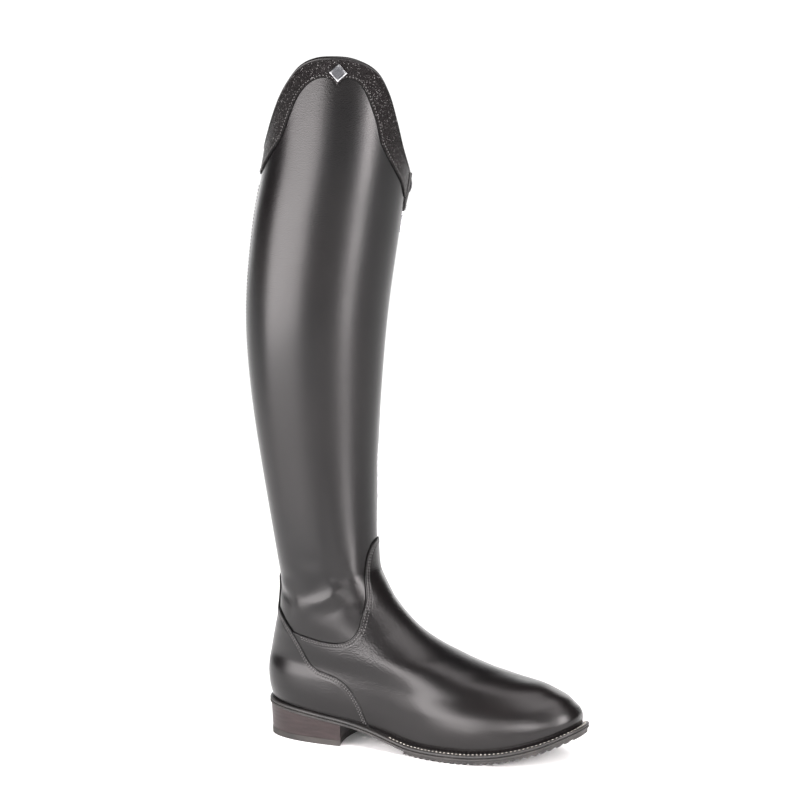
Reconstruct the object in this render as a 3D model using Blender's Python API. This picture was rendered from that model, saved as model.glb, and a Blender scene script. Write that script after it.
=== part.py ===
"""A tall right dress riding boot: hollow upper on a last, overlays, zip, sole and heel."""
import math
from collections import namedtuple

import bmesh
import bpy
from mathutils import Vector

# Driving sizes, in metres
SOLE_LENGTH = 0.270
BALL_WIDTH = 0.100
INSTEP_RISE = 0.100
HEEL_SEAT_RISE = 0.0225
TOE_SPRING = 0.0235
ANKLE_HEIGHT = 0.146
FRONT_DIP_HEIGHT = 0.456
APEX_HEIGHT = 0.546
CALF_DEPTH = 0.118
CALF_WIDTH = 0.100
SHAFT_TWIST = math.radians(25)

# Layers and gaps
SEAM_GAP = 0.0003
WALL = 0.0020
OVERLAY = 0.0012
RECESS = 0.0009
TREAD = 0.0022
RIB_DEPTH = 0.0012
RIB_PITCH = 0.0052
RIB_FLANK = 0.0005
OUTSOLE = 0.0026
WELT = 0.0024
WELT_EDGE_TOE = 0.0065
WELT_EDGE_HEEL = 0.0045
WELT_LEDGE = 0.0030
INSOLE = 0.0040

# Heel
HEEL_LENGTH = 0.0745
BREAST_CURVE = 0.006
HEEL_INSET = 0.0010
HEEL_TAPER = 0.0012
TOP_PIECE = 0.0048

# Collar, badge, tab and zip
BINDING = 0.0018
BADGE_REACH = 0.0070
BADGE_DEPTH = 0.0014
BADGE_STAND = 0.0003
TAB_THICKNESS = 0.0026
TAB_LENGTH = 0.021
TAB_TAIL = 0.011
STUD_RADIUS = 0.0062
STUD_HEIGHT = 0.0019
ZIP_ANGLE = math.radians(198)
ZIP_TAPE_WIDTH = 0.013
ZIP_TAPE = 0.0005
ZIP_TEETH_WIDTH = 0.0046
ZIP_TEETH = 0.0010
ZIP_CLEARANCE = 0.0008
SLIDER_LENGTH = 0.010
SLIDER_WIDTH = 0.0078
SLIDER_DEPTH = 0.0016
EAR_THICKNESS = 0.0010
PULL_PIN = 0.0016
PULL_LENGTH = 0.016
PULL_WIDTH = 0.0046

COLUMNS = 48

# Underside of the outsole: share of the length, share of the heel rise or of the toe spring
BOTTOM = ((0.0, 1.0), (0.14, 0.86), (0.29, 0.64), (0.36, 0.46), (0.44, 0.19), (0.50, 0.03), (0.54, 0.0))
SPRING = ((0.61, 0.0), (0.70, 0.035), (0.80, 0.18), (0.90, 0.50), (1.0, 1.0))
TREAD_START = 0.485

OutlineRow = namedtuple("OutlineRow", "along lateral medial")
OUTLINE = (
    OutlineRow(0.00, 1.04, 1.04),
    OutlineRow(0.06, 1.02, 1.02),
    OutlineRow(0.12, 0.97, 0.95),
    OutlineRow(0.20, 0.89, 0.83),
    OutlineRow(0.30, 0.80, 0.68),
    OutlineRow(0.40, 0.77, 0.61),
    OutlineRow(0.50, 0.84, 0.68),
    OutlineRow(0.58, 0.94, 0.83),
    OutlineRow(0.66, 1.00, 1.00),
    OutlineRow(0.75, 1.03, 1.08),
    OutlineRow(0.85, 1.03, 1.05),
    OutlineRow(0.93, 0.99, 0.99),
    OutlineRow(1.00, 0.93, 0.93),
)
OUTLINE_POWER = 0.8

# Sections of the foot: x as shares of the length, rises of the instep rise, widths of the feather line
FootRow = namedtuple("FootRow", "front front_rise back back_rise lateral medial widest taper sole twist")
FOOT = (
    FootRow(0.973, 0.00, 0.020, 0.00, 1.00, 1.00, 0.50, 2.0, 1.00, 0.00),
    FootRow(0.977, 0.10, 0.005, 0.13, 1.04, 1.04, 0.50, 2.0, 1.00, 0.00),
    FootRow(0.958, 0.215, 0.002, 0.26, 1.00, 1.00, 0.45, 2.0, 0.90, 0.00),
    FootRow(0.892, 0.345, 0.007, 0.37, 0.89, 0.88, 0.38, 1.9, 0.60, 0.00),
    FootRow(0.778, 0.505, 0.014, 0.48, 0.84, 0.82, 0.32, 1.9, 0.28, 0.00),
    FootRow(0.622, 0.660, 0.022, 0.59, 0.80, 0.78, 0.32, 1.8, 0.10, 0.00),
    FootRow(0.488, 0.810, 0.029, 0.71, 0.79, 0.77, 0.38, 1.8, 0.00, 0.05),
    FootRow(0.396, 0.960, 0.035, 0.83, 0.78, 0.77, 0.45, 1.9, 0.00, 0.15),
    FootRow(0.346, 1.130, 0.038, 0.99, 0.78, 0.78, 0.50, 2.0, 0.00, 0.30),
)
# Sections of the shaft, evenly spaced in height: middle as a share of the length
ShaftRow = namedtuple("ShaftRow", "middle depth width twist")
SHAFT = (
    ShaftRow(0.178, 0.686, 0.70, 0.50),
    ShaftRow(0.154, 0.768, 0.76, 0.75),
    ShaftRow(0.143, 0.880, 0.88, 0.92),
    ShaftRow(0.148, 0.957, 0.98, 1.00),
    ShaftRow(0.178, 0.988, 1.00, 1.00),
    ShaftRow(0.221, 0.970, 1.00, 1.00),
    ShaftRow(0.243, 0.955, 1.00, 1.00),
)

# Seam lines: angle round the leg in degrees, 0 at the back and 180 in front, and level of the form
COUNTER_LINE = ((0, 8.15), (9, 8.10), (12, 7.90), (14, 7.0), (17, 6.38), (28, 6.15), (38, 5.72), (46, 5.12),
                (49, 4.38), (51, 3.45), (53, 2.95), (57, 2.67), (62, 2.57), (66, 2.38), (69, 2.02),
                (72, 1.25), (74.5, 0.20))
VAMP_LINE = ((53, 5.04), (60, 4.97), (66, 4.92), (73, 4.93), (80, 5.03), (89, 5.31), (99, 5.72), (109, 6.14),
             (118, 6.56), (126, 6.90), (134, 7.25), (140, 7.70), (145, 8.30), (149, 9.00), (158, 9.24),
             (169, 9.31), (180, 9.32))
SEAM_DEGREES = 1.2
SEAM_LEVELS = 0.06
OVERLAY_FOOT = 0.10
# Top line and lower edge of the trim: angle, and share of the rise from the front dip to the apex
COLLAR_LINE = ((0, 0.20), (10, 0.31), (20, 0.46), (30, 0.61), (40, 0.74), (52, 0.885), (64, 0.97), (76, 1.0),
               (88, 0.99), (98, 0.95), (115, 0.82), (127, 0.64), (137, 0.44), (150, 0.20), (165, 0.05),
               (180, 0.0), (215, 0.04), (270, 0.24), (320, 0.24), (345, 0.20), (360, 0.20))
TRIM_LINE = ((0, -0.02), (11, 0.05), (25, 0.19), (37, 0.33), (44, 0.50), (52, 0.65), (62, 0.75), (72, 0.79),
             (79, 0.77), (83.5, 0.72), (88, 0.77), (96, 0.77), (103, 0.72), (110, 0.60), (118, 0.43),
             (124, 0.27), (138, 0.08), (155, -0.08), (172, -0.22), (215, -0.14), (270, 0.04), (330, 0.02),
             (360, -0.02))
LEG_LEVELS = (0, 0.5, 1, 1.5, 2, 2.5, 3, 3.6, 4.2, 4.8, 5.4, 6, 6.6, 7.2, 7.8, 8.4, 9, 9.6, 10.2, 10.8, 11.4,
              12, 12.6, 13.1)
ZIP_FOOT_LEVEL = 9.6
TRIM_FRONT = (172, 214)
LEG_ANGLES = (0, 6, 12, 18, 25, 31, 37, 44, 52, 60, 67, 74, 79, 83.5, 88, 94, 100, 106, 112, 118, 124, 131,
              138, 146, 154, 163, 172, 180, 188, 197, 206, 214, 222, 231, 240, 250, 260, 270, 280, 290, 300,
              311, 322, 333, 342, 351)
TAB_TAIL_LINE = ((0.0, 0.35), (0.14, 0.85), (0.24, 1.0), (0.36, 0.75), (0.55, 0.25), (0.8, 0.03), (1.0, 0.0))
TAB_SPAN = (176, 210)
BADGE_ANGLE = 84
BADGE_SHARE = 0.835


def mix(a, b, share):
    return a + (b - a) * share


def smooth(table, x):
    """Smooth curve through rows of (x, y)."""
    last = len(table) - 1
    if x <= table[0][0]:
        return table[0][1]
    if x >= table[last][0]:
        return table[last][1]
    i = max(k for k in range(last) if table[k][0] <= x)

    def slope(k):
        low, high = max(k - 1, 0), min(k + 1, last)
        return (table[high][1] - table[low][1]) / (table[high][0] - table[low][0])

    width = table[i + 1][0] - table[i][0]
    t = (x - table[i][0]) / width
    a, b = table[i][1], table[i + 1][1]
    return ((1 + 2 * t) * (1 - t) ** 2 * a + t * (1 - t) ** 2 * width * slope(i)
            + t * t * (3 - 2 * t) * b - t * t * (1 - t) * width * slope(i + 1))


def place(x, across, z):
    """From the last's own measures (lateral positive) to the frame, with its origin under the heel."""
    return Vector((x - HEEL_LENGTH / 2, -across, z))


# Sole outline and the heights of its layers
def outsole_underside(x):
    share = x / SOLE_LENGTH
    if share < SPRING[0][0]:
        return TREAD + SEAM_GAP + HEEL_SEAT_RISE * smooth(BOTTOM, share)
    return TREAD + SEAM_GAP + TOE_SPRING * smooth(SPRING, share)


def welt_underside(x):
    return outsole_underside(x) + OUTSOLE + SEAM_GAP


def seat_height(x):
    return welt_underside(x) + WELT + SEAM_GAP


def outline_table(side):
    return tuple((row.along, getattr(row, side)) for row in OUTLINE)


LATERAL = outline_table("lateral")
MEDIAL = outline_table("medial")


def sole_edge(theta, inset=0.0):
    """Point (x, across) on the sole's outline, moved inwards by the inset."""
    def edge(angle):
        share = (1 - math.cos(angle)) / 2
        reach = smooth(LATERAL if math.sin(angle) >= 0 else MEDIAL, share)
        half = reach * BALL_WIDTH / 2 * abs(math.sin(angle)) ** OUTLINE_POWER
        return share * SOLE_LENGTH, math.copysign(half, math.sin(angle))

    x, across = edge(theta)
    before = edge(theta - 0.03)
    after = edge(theta + 0.03)
    run = after[0] - before[0]
    rise = after[1] - before[1]
    size = math.hypot(run, rise)
    return x + rise / size * inset, across - run / size * inset


def feather_inset(theta):
    t = min(1.0, max(0.0, ((1 - math.cos(theta)) / 2 - 0.2) / 0.3))
    return mix(WELT_EDGE_HEEL, WELT_EDGE_TOE, t * t * (3 - 2 * t))


def feather_edge(theta):
    return sole_edge(theta, feather_inset(theta))


FEATHER_BACK = feather_edge(0.0)[0]
FEATHER_FRONT = feather_edge(math.pi)[0]
FEATHER_HALF = max(feather_edge(math.radians(angle))[1] for angle in range(60, 150, 2))

# The form of the last and leg
Section = namedtuple("Section", "front_x front_z back_x back_z lateral medial widest taper sole twist")
ANKLE_LEVEL = len(FOOT)
TOP_LEVEL = len(FOOT) + len(SHAFT) - 1
SHAFT_STEP = (APEX_HEIGHT - ANKLE_HEIGHT) / (len(SHAFT) - 1)


def foot_section(row, feather):
    front = FEATHER_FRONT if feather else row.front * SOLE_LENGTH
    back = FEATHER_BACK if feather else row.back * SOLE_LENGTH
    return Section(front, seat_height(front) + row.front_rise * INSTEP_RISE,
                   back, seat_height(back) + row.back_rise * INSTEP_RISE,
                   row.lateral * FEATHER_HALF, row.medial * FEATHER_HALF,
                   row.widest, row.taper, row.sole, row.twist * SHAFT_TWIST)


def shaft_section(row, step):
    middle = row.middle * SOLE_LENGTH
    half = row.depth * CALF_DEPTH / 2
    side = row.width * CALF_WIDTH / 2
    z = ANKLE_HEIGHT + step * SHAFT_STEP
    return Section(middle + half, z, middle - half, z, side, side, 0.5, 2.0, 0.0, row.twist * SHAFT_TWIST)


SECTIONS = ([foot_section(row, k == 0) for k, row in enumerate(FOOT)]
            + [shaft_section(row, k) for k, row in enumerate(SHAFT)])


def section(level):
    level = min(max(level, 0.0), float(TOP_LEVEL))
    i = min(int(level), TOP_LEVEL - 1)
    t = level - i
    rows = (SECTIONS[max(i - 1, 0)], SECTIONS[i], SECTIONS[i + 1], SECTIONS[min(i + 2, TOP_LEVEL)])
    values = []
    for before, low, high, after in zip(*rows):
        values.append((1 + 2 * t) * (1 - t) ** 2 * low + t * (1 - t) ** 2 * (high - before) / 2
                      + t * t * (3 - 2 * t) * high - t * t * (1 - t) * (after - low) / 2)
    return Section(*values)


def oval_shape(theta, widest, taper):
    share = (1 - math.cos(theta)) / 2
    if share < widest:
        return share, (1 - ((widest - share) / widest) ** 2.1) ** (1 / 2.1)
    return share, (1 - min(1.0, (share - widest) / (1 - widest)) ** taper) ** (1 / taper)


def form_point(theta, level):
    """Point (x, across, z) on the outside of the last and leg."""
    cut = section(level)
    share, half = oval_shape(theta, cut.widest, cut.taper)
    if cut.sole > 0.001:
        x, across = feather_edge(theta)
        plan = (x - FEATHER_BACK) / (FEATHER_FRONT - FEATHER_BACK)
        share = mix(share, plan, cut.sole)
        half = mix(half, abs(across) / FEATHER_HALF, cut.sole)
    x = mix(cut.back_x, cut.front_x, share)
    z = mix(cut.back_z, cut.front_z, share)
    line = mix(seat_height(cut.back_x), seat_height(cut.front_x), share)
    z += cut.sole * (seat_height(x) - line)
    across = math.copysign(half * (cut.lateral if math.sin(theta) >= 0 else cut.medial), math.sin(theta))
    middle = (cut.back_x + cut.front_x) / 2
    turn, lean = math.cos(cut.twist), math.sin(cut.twist)
    return middle + (x - middle) * turn + across * lean, across * turn - (x - middle) * lean, z


def tangents(theta, level):
    ahead = place(*form_point(theta + 0.02, level))
    behind = place(*form_point(theta - 0.02, level))
    above = place(*form_point(theta, min(level + 0.04, TOP_LEVEL)))
    below = place(*form_point(theta, max(min(level + 0.04, TOP_LEVEL) - 0.08, 0.0)))
    return ahead - behind, above - below


def outward(theta, level):
    round_leg, up = tangents(theta, level)
    return round_leg.cross(up).normalized()


def skin(theta, level, out=0.0):
    """Point in the frame at a distance out from the form."""
    return place(*form_point(theta, level)) + outward(theta, level) * out


def arc_speed(theta, level):
    """Metres of girth per radian."""
    return tangents(theta, level)[0].length / 0.04


def level_at(height):
    return ANKLE_LEVEL + (height - ANKLE_HEIGHT) / SHAFT_STEP


def share_level(share):
    return level_at(mix(FRONT_DIP_HEIGHT, APEX_HEIGHT, share))


def collar_level(theta):
    return share_level(smooth(COLLAR_LINE, math.degrees(theta) % 360))


def trim_level(theta):
    return share_level(smooth(TRIM_LINE, math.degrees(theta) % 360))


def from_back(theta):
    """Angle from the back in degrees, the same on both sides."""
    angle = math.degrees(theta) % 360
    return min(angle, 360 - angle)


def under_overlay(theta, level):
    """True where the vamp, the counter or the trim covers the form."""
    angle = from_back(theta)
    if angle > VAMP_LINE[0][0]:
        return level < smooth(VAMP_LINE, angle) - 0.05
    if angle < 47:
        return level < smooth(COUNTER_LINE, angle) - 0.05
    return level < 4.9


# Meshes
def new_object(name, mesh):
    part = bpy.data.objects.new(name, mesh)
    bpy.data.collections[COLLECTION].objects.link(part)
    return part


def mesh_object(name, points, faces):
    mesh = bpy.data.meshes.new(name)
    mesh.from_pydata(points, [], faces)
    work = bmesh.new()
    work.from_mesh(mesh)
    bmesh.ops.remove_doubles(work, verts=work.verts, dist=0.00001)
    bmesh.ops.recalc_face_normals(work, faces=work.faces)
    work.to_mesh(mesh)
    work.free()
    return new_object(name, mesh)


def grid_faces(rows, columns, closed):
    faces = []
    for i in range(rows - 1):
        for j in range(columns if closed else columns - 1):
            k = (j + 1) % columns
            faces.append((i * columns + j, i * columns + k, (i + 1) * columns + k, (i + 1) * columns + j))
    return faces


def closed_solid(name, outer, inner, closed=False):
    """Solid between two grids of points, with walls along their free edges.

    The grids have as many columns each, and as many rows unless they are closed rings.
    """
    rows, columns = len(outer), len(outer[0])
    points = [p for row in outer for p in row] + [p for row in inner for p in row]
    size = rows * columns
    faces = grid_faces(rows, columns, closed)
    faces += [tuple(size + v for v in reversed(face)) for face in grid_faces(len(inner), columns, closed)]
    far, far_inner = (rows - 1) * columns, size + (len(inner) - 1) * columns
    for j in range(columns if closed else columns - 1):
        k = (j + 1) % columns
        faces.append((k, j, size + j, size + k))
        faces.append((far + j, far + k, far_inner + k, far_inner + j))
    if not closed:
        for i in range(rows - 1):
            near, end = i * columns, i * columns + columns - 1
            faces.append((near, near + columns, size + near + columns, size + near))
            faces.append((end + columns, end, size + end, size + end + columns))
    return mesh_object(name, points, faces)


def skin_solid(name, grid, inner, outer, closed=False):
    """Wall over a grid of (angle, level) between two distances from the form."""
    return closed_solid(name, [[skin(t, l, outer) for t, l in row] for row in grid],
                        [[skin(t, l, inner) for t, l in row] for row in grid], closed)


def between(angles, low, high, rows):
    """Grid of (angle, level) that fills the space between two lines."""
    return [[(t, mix(low(t), high(t), i / (rows - 1))) for t in angles] for i in range(rows)]


def mirrored(degrees):
    """Angles of one side and of the other, in order from the medial to the lateral side."""
    both = [-d for d in reversed(degrees) if d > 0] + list(degrees)
    return [math.radians(d) for d in both]


# Sub-parts
def upper():
    top_rows = 4
    angles = [math.radians(d) for d in LEG_ANGLES]
    grid = [[(t, level) for t in angles] for level in LEG_LEVELS]
    last = LEG_LEVELS[-1]
    for k in range(1, top_rows + 1):
        grid.append([(t, mix(last, collar_level(t), k / top_rows)) for t in angles])

    def depth(theta, level):
        return -RECESS if under_overlay(theta, level) else 0.0

    outer = [[skin(t, l, depth(t, l)) for t, l in row] for row in grid]
    inner = [[skin(t, l, -WALL) for t, l in row] for row in grid[:-2:2] + grid[-1:]]
    return closed_solid("upper", outer, inner, closed=True)


def heel_counter():
    degrees = sorted([angle for angle, level in COUNTER_LINE] + [4.5, 22, 33])
    angles = mirrored(degrees)
    grid = between(angles, lambda t: OVERLAY_FOOT, lambda t: smooth(COUNTER_LINE, from_back(t)), 8)
    return skin_solid("heel_counter", grid, SEAM_GAP, SEAM_GAP + OVERLAY)


def vamp():
    degrees = [angle + SEAM_DEGREES for angle, level in COUNTER_LINE if angle > 51]
    degrees += [angle for angle, level in VAMP_LINE if angle > degrees[-1] + 3]

    def low(theta):
        angle = from_back(theta)
        if angle > COUNTER_LINE[-1][0] + SEAM_DEGREES + 0.01:
            return OVERLAY_FOOT
        return smooth(COUNTER_LINE, angle - SEAM_DEGREES) + SEAM_LEVELS

    angles = [math.radians(d) for d in degrees]
    angles += [math.tau - a for a in reversed(angles[:-1])]
    grid = between(angles, low, lambda t: smooth(VAMP_LINE, from_back(t)), 14)
    return skin_solid("vamp", grid, SEAM_GAP, SEAM_GAP + OVERLAY)


def trim_angles():
    front, back = TRIM_FRONT
    start = [d for d in LEG_ANGLES if d >= back]
    end = [d + 360 for d in LEG_ANGLES if d <= front]
    return [math.radians(d) for d in start + end]


def glitter_trim():
    grid = between(trim_angles(), trim_level, lambda t: collar_level(t) - 0.004, 4)
    return skin_solid("glitter_trim", grid, SEAM_GAP, SEAM_GAP + OVERLAY)


def collar_binding():
    """Rounded cord on the top edge, over the wall and the trim."""
    angles = [math.radians(d) for d in LEG_ANGLES]
    middle = (OVERLAY + SEAM_GAP - WALL) / 2
    half = (OVERLAY + SEAM_GAP + WALL) / 2
    shape = ((-1.0, 0.0), (1.0, 0.0), (1.1, 0.45), (0.6, 1.0), (-0.6, 1.0), (-1.1, 0.45))
    rows = []
    for across, up in shape:
        row = []
        for t in angles:
            level = collar_level(t)
            rise = Vector((0, 0, SEAM_GAP + up * BINDING))
            row.append(skin(t, level, middle + across * half) + rise)
        rows.append(row)
    points = [p for row in rows for p in row]
    faces = grid_faces(len(rows) + 1, len(angles), True)
    return mesh_object("collar_binding", points, [tuple(v % len(points) for v in face) for face in faces])


def local_frame(theta, level):
    """Unit vectors at a point of the form: round the leg, up along it, and outwards."""
    out = outward(theta, level)
    up = tangents(theta, level)[1].normalized()
    across = up.cross(out).normalized()
    return across, out.cross(across).normalized(), out


def badge():
    """Bare diamond plate with a raised frame; it carries no sign."""
    theta = math.radians(BADGE_ANGLE)
    level = share_level(BADGE_SHARE)
    across, up, out = local_frame(theta, level)
    middle = skin(theta, level, SEAM_GAP + OVERLAY + BADGE_STAND)
    rings = ((1.0, 0.0), (1.0, 0.6), (0.88, 1.0), (0.74, 1.0), (0.66, 0.7))
    points = []
    for reach, depth in rings:
        for k in range(4):
            turn = k * math.pi / 2
            flat = across * math.cos(turn) + up * math.sin(turn)
            points.append(middle + flat * reach * BADGE_REACH + out * depth * BADGE_DEPTH)
    faces = grid_faces(len(rings), 4, True) + [(3, 2, 1, 0), (16, 17, 18, 19)]
    return mesh_object("badge", points, faces)


def strip_grid(theta, levels, offsets):
    """Grid of (angle, level) along the leg, with its columns at given distances from a middle line."""
    grid = []
    for level in levels:
        speed = arc_speed(theta, level)
        grid.append([(theta + offset / speed, level) for offset in offsets])
    return grid


def zip_levels(top):
    """The leg's own levels from the foot of the zip up to a height."""
    end = level_at(top)
    return [level for level in LEG_LEVELS if ZIP_FOOT_LEVEL <= level < end - 0.1] + [end]


def tab_edge(theta):
    """Height of the lower edge of the closing tab: a tail near the front, shorter over the zip."""
    share = (math.degrees(theta) - TAB_SPAN[0]) / (TAB_SPAN[1] - TAB_SPAN[0])
    return FRONT_DIP_HEIGHT - TAB_LENGTH - smooth(TAB_TAIL_LINE, share) * TAB_TAIL


SLIDER_TOP = tab_edge(ZIP_ANGLE - math.radians(8)) - ZIP_CLEARANCE
TAPE_OUT = SEAM_GAP + ZIP_TAPE
TEETH_OUT = TAPE_OUT + SEAM_GAP + ZIP_TEETH
SLIDER_BASE = TAPE_OUT + SEAM_GAP


def zip_tape():
    half = ZIP_TAPE_WIDTH / 2
    grid = strip_grid(ZIP_ANGLE, zip_levels(SLIDER_TOP), (-half, -half / 3, half / 3, half))
    return skin_solid("zip_tape", grid, SEAM_GAP, TAPE_OUT)


def zip_teeth():
    half = ZIP_TEETH_WIDTH / 2
    top = SLIDER_TOP - SLIDER_LENGTH - SEAM_GAP
    grid = strip_grid(ZIP_ANGLE, zip_levels(top)[1:], (-half, 0, half))
    return skin_solid("zip_teeth", grid, TAPE_OUT + SEAM_GAP, TEETH_OUT)


def slider_frame():
    """Middle of the slider's underside and its unit vectors."""
    level = level_at(SLIDER_TOP - SLIDER_LENGTH / 2)
    across, up, out = local_frame(ZIP_ANGLE, level)
    return skin(ZIP_ANGLE, level, SLIDER_BASE + 0.0002), across, up, out


def box_points(middle, across, up, out, x, y, z):
    """Corners of a block given by its low and high distances along three unit vectors."""
    return [middle + across * x[i] + up * y[j] + out * z[k] for i in (0, 1) for j in (0, 1) for k in (0, 1)]


BOX_FACES = [(0, 1, 3, 2), (4, 6, 7, 5), (0, 4, 5, 1), (2, 3, 7, 6), (0, 2, 6, 4), (1, 5, 7, 3)]
EAR_INSIDE = PULL_WIDTH / 2 - 0.0008
PIN_HEIGHT = SLIDER_DEPTH + SEAM_GAP + PULL_PIN * 0.6


def zip_slider():
    """Tapered body with two ears that hold the pull."""
    middle, across, up, out = slider_frame()
    half_width, half_length = SLIDER_WIDTH / 2, SLIDER_LENGTH / 2
    outline = ((-0.7, -1.0), (0.7, -1.0), (1.0, 0.1), (0.8, 1.0), (-0.8, 1.0), (-1.0, 0.1))
    rings = ((1.0, 0.0), (1.0, 0.7), (0.82, 1.0))
    points = []
    for reach, depth in rings:
        for x, y in outline:
            points.append(middle + across * x * half_width * reach + up * y * half_length * reach
                          + out * depth * SLIDER_DEPTH)
    count = len(outline)
    last = len(rings) - 1
    faces = grid_faces(len(rings), count, True)
    faces.append(tuple(reversed(range(count))))
    faces.append(tuple(range(last * count, last * count + count)))
    body = mesh_object("zip_slider", points, faces)
    for side in (-1, 1):
        near = side * (EAR_INSIDE + SEAM_GAP)
        far = side * (EAR_INSIDE + SEAM_GAP + EAR_THICKNESS)
        corners = box_points(middle, across, up, out, sorted((near, far)), (-0.0014, 0.0014),
                             (SLIDER_DEPTH - 0.0006, PIN_HEIGHT + PULL_PIN / 2 + 0.0002))
        ear = mesh_object("slider_ear_cutter", corners, BOX_FACES)
        join_solid(body, ear)
    return body


def join_solid(body, extra):
    """Union of a helper solid into the body; the helper stays in the cutters' collection."""
    bpy.data.collections[COLLECTION].objects.unlink(extra)
    bpy.data.collections[CUTTERS].objects.link(extra)
    extra.hide_render = True
    extra.display_type = "WIRE"
    step = body.modifiers.new("join", "BOOLEAN")
    step.operation = "UNION"
    step.solver = "EXACT"
    step.object = extra


def zip_pull():
    """Flat tab hanging from a pin between the ears."""
    middle, across, up, out = slider_frame()
    hinge = middle + out * PIN_HEIGHT
    half_pin = PULL_PIN / 2
    half = EAR_INSIDE
    thin = half_pin * 0.55
    barrel = [(math.cos(math.pi * k / 6) * half_pin, math.sin(math.pi * k / 6) * half_pin) for k in range(5)]
    rows = [(y, half, -high, high) for y, high in barrel]
    rows += [
        (-half_pin * 1.1, half, -half_pin * 0.86, -half_pin * 0.86 + thin),
        (-half_pin * 2.4, half, -half_pin * 0.86, -half_pin * 0.86 + thin),
        (-half_pin * 4.0, PULL_WIDTH / 2, -half_pin * 0.86, -half_pin * 0.86 + thin),
        (-PULL_LENGTH + PULL_WIDTH / 3, PULL_WIDTH / 2, -half_pin * 0.86, -half_pin * 0.86 + thin),
        (-PULL_LENGTH, PULL_WIDTH / 3, -half_pin * 0.86, -half_pin * 0.86 + thin),
    ]
    front = [[hinge + across * s * w + up * y + out * high for s in (-1, 1)] for y, w, low, high in rows]
    back = [[hinge + across * s * w + up * y + out * low for s in (-1, 1)] for y, w, low, high in rows]
    return closed_solid("zip_pull", front, back)


def closing_tab():
    start, end = TAB_SPAN
    shares = (0.0, 0.07, 0.14, 0.24, 0.36, 0.48, 0.6, 0.8, 1.0)
    angles = [math.radians(mix(start, end, s)) for s in shares]
    rows = 7
    grid = between(angles, lambda t: level_at(tab_edge(t)), lambda t: level_at(FRONT_DIP_HEIGHT - SEAM_GAP), rows)
    inner = []
    outer = []
    for i, row in enumerate(grid):
        share = i / (rows - 1)
        thick = mix(0.5, 1.0, min(1.0, share * 2)) * TAB_THICKNESS
        base = SEAM_GAP * 2
        inner.append([skin(t, l, base) for t, l in row])
        outer.append([skin(t, l, base + thick) for t, l in row])
    return closed_solid("closing_tab", outer, inner)


def press_stud():
    """Domed cap on the tab."""
    theta = math.radians(mix(TAB_SPAN[0], TAB_SPAN[1], 0.42))
    level = level_at(FRONT_DIP_HEIGHT - TAB_LENGTH * 0.52)
    across, up, out = local_frame(theta, level)
    middle = skin(theta, level, SEAM_GAP * 3 + TAB_THICKNESS)
    rings = ((1.0, 0.0), (1.0, 0.35), (0.82, 0.8), (0.45, 1.0))
    count = 16
    points = []
    for reach, depth in rings:
        for k in range(count):
            turn = math.tau * k / count
            flat = across * math.cos(turn) + up * math.sin(turn)
            points.append(middle + flat * reach * STUD_RADIUS + out * depth * STUD_HEIGHT)
    last = len(rings) - 1
    faces = grid_faces(len(rings), count, True)
    faces.append(tuple(reversed(range(count))))
    faces.append(tuple(range(last * count, last * count + count)))
    return mesh_object("press_stud", points, faces)


# Sole
def sole_ring(name, inner_inset, low, high):
    angles = [math.tau * k / COLUMNS for k in range(COLUMNS)]
    rings = []
    for height in (low, high):
        outer = [sole_edge(t) for t in angles]
        inner = [sole_edge(t, inner_inset(t)) for t in angles]
        rings.append([[place(x, y, height(x)) for x, y in edge] for edge in (outer, inner)])
    return closed_solid(name, rings[1], rings[0], closed=True)


def ladder(angles, inset, across_count, shift=None):
    """Rows of (x, across) from the medial to the lateral edge at each angle."""
    rows = []
    for t in angles:
        lateral = sole_edge(t, inset(t))
        medial = sole_edge(-t, inset(t))
        row = []
        for k in range(across_count):
            share = k / (across_count - 1)
            back = shift(t, share) if shift else 0.0
            row.append((mix(medial[0], lateral[0], share) - back, mix(medial[1], lateral[1], share)))
        rows.append(row)
    return rows


def slab(name, rows, low, high):
    bottom = [[place(x, y, low(x)) for x, y in row] for row in rows]
    top = [[place(x, y, high(x)) for x, y in row] for row in rows]
    return closed_solid(name, top, bottom)


def welt():
    return sole_ring("welt", lambda t: feather_inset(t) + WELT_LEDGE, welt_underside,
                     lambda x: welt_underside(x) + WELT)


def insole():
    angles = [math.tau * k / COLUMNS for k in range(1, COLUMNS // 2)]
    rows = ladder(angles, lambda t: feather_inset(t) + WELT_LEDGE + SEAM_GAP, 3)
    return slab("insole", rows, welt_underside, lambda x: welt_underside(x) + INSOLE)


def outsole():
    angles = [math.radians(1)] + [math.tau * k / COLUMNS for k in range(1, COLUMNS // 2)] + [math.radians(179)]
    return slab("outsole", ladder(angles, lambda t: 0.0, 3), outsole_underside,
                lambda x: outsole_underside(x) + OUTSOLE)


def angle_of(share):
    return math.acos(1 - 2 * min(max(share, 0.0), 1.0))


def forefoot_tread():
    """Half sole with ribs across it that show along its edge."""
    start = TREAD_START * SOLE_LENGTH
    end = SOLE_LENGTH * 0.9985
    count = int((end - start) / RIB_PITCH)
    pitch = (end - start) / count
    stations = []
    for k in range(count):
        x = start + k * pitch
        groove = pitch * 0.36
        stations += [(x, 0.0), (x + pitch - groove - RIB_FLANK * 2, 0.0)]
        if k < count - 1:
            stations += [(x + pitch - groove - RIB_FLANK, 1.0), (x + pitch - RIB_FLANK, 1.0)]
    top_rows = []
    bottom_rows = []
    for x, depth in stations:
        t = angle_of(x / SOLE_LENGTH)
        lateral, medial = sole_edge(t), sole_edge(-t)
        high = outsole_underside(x) - SEAM_GAP
        low = high - TREAD + depth * RIB_DEPTH
        top_rows.append([place(px, py, high) for px, py in (medial, lateral)])
        bottom_rows.append([place(px, py, low) for px, py in (medial, lateral)])
    return closed_solid("forefoot_tread", top_rows, bottom_rows)


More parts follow.
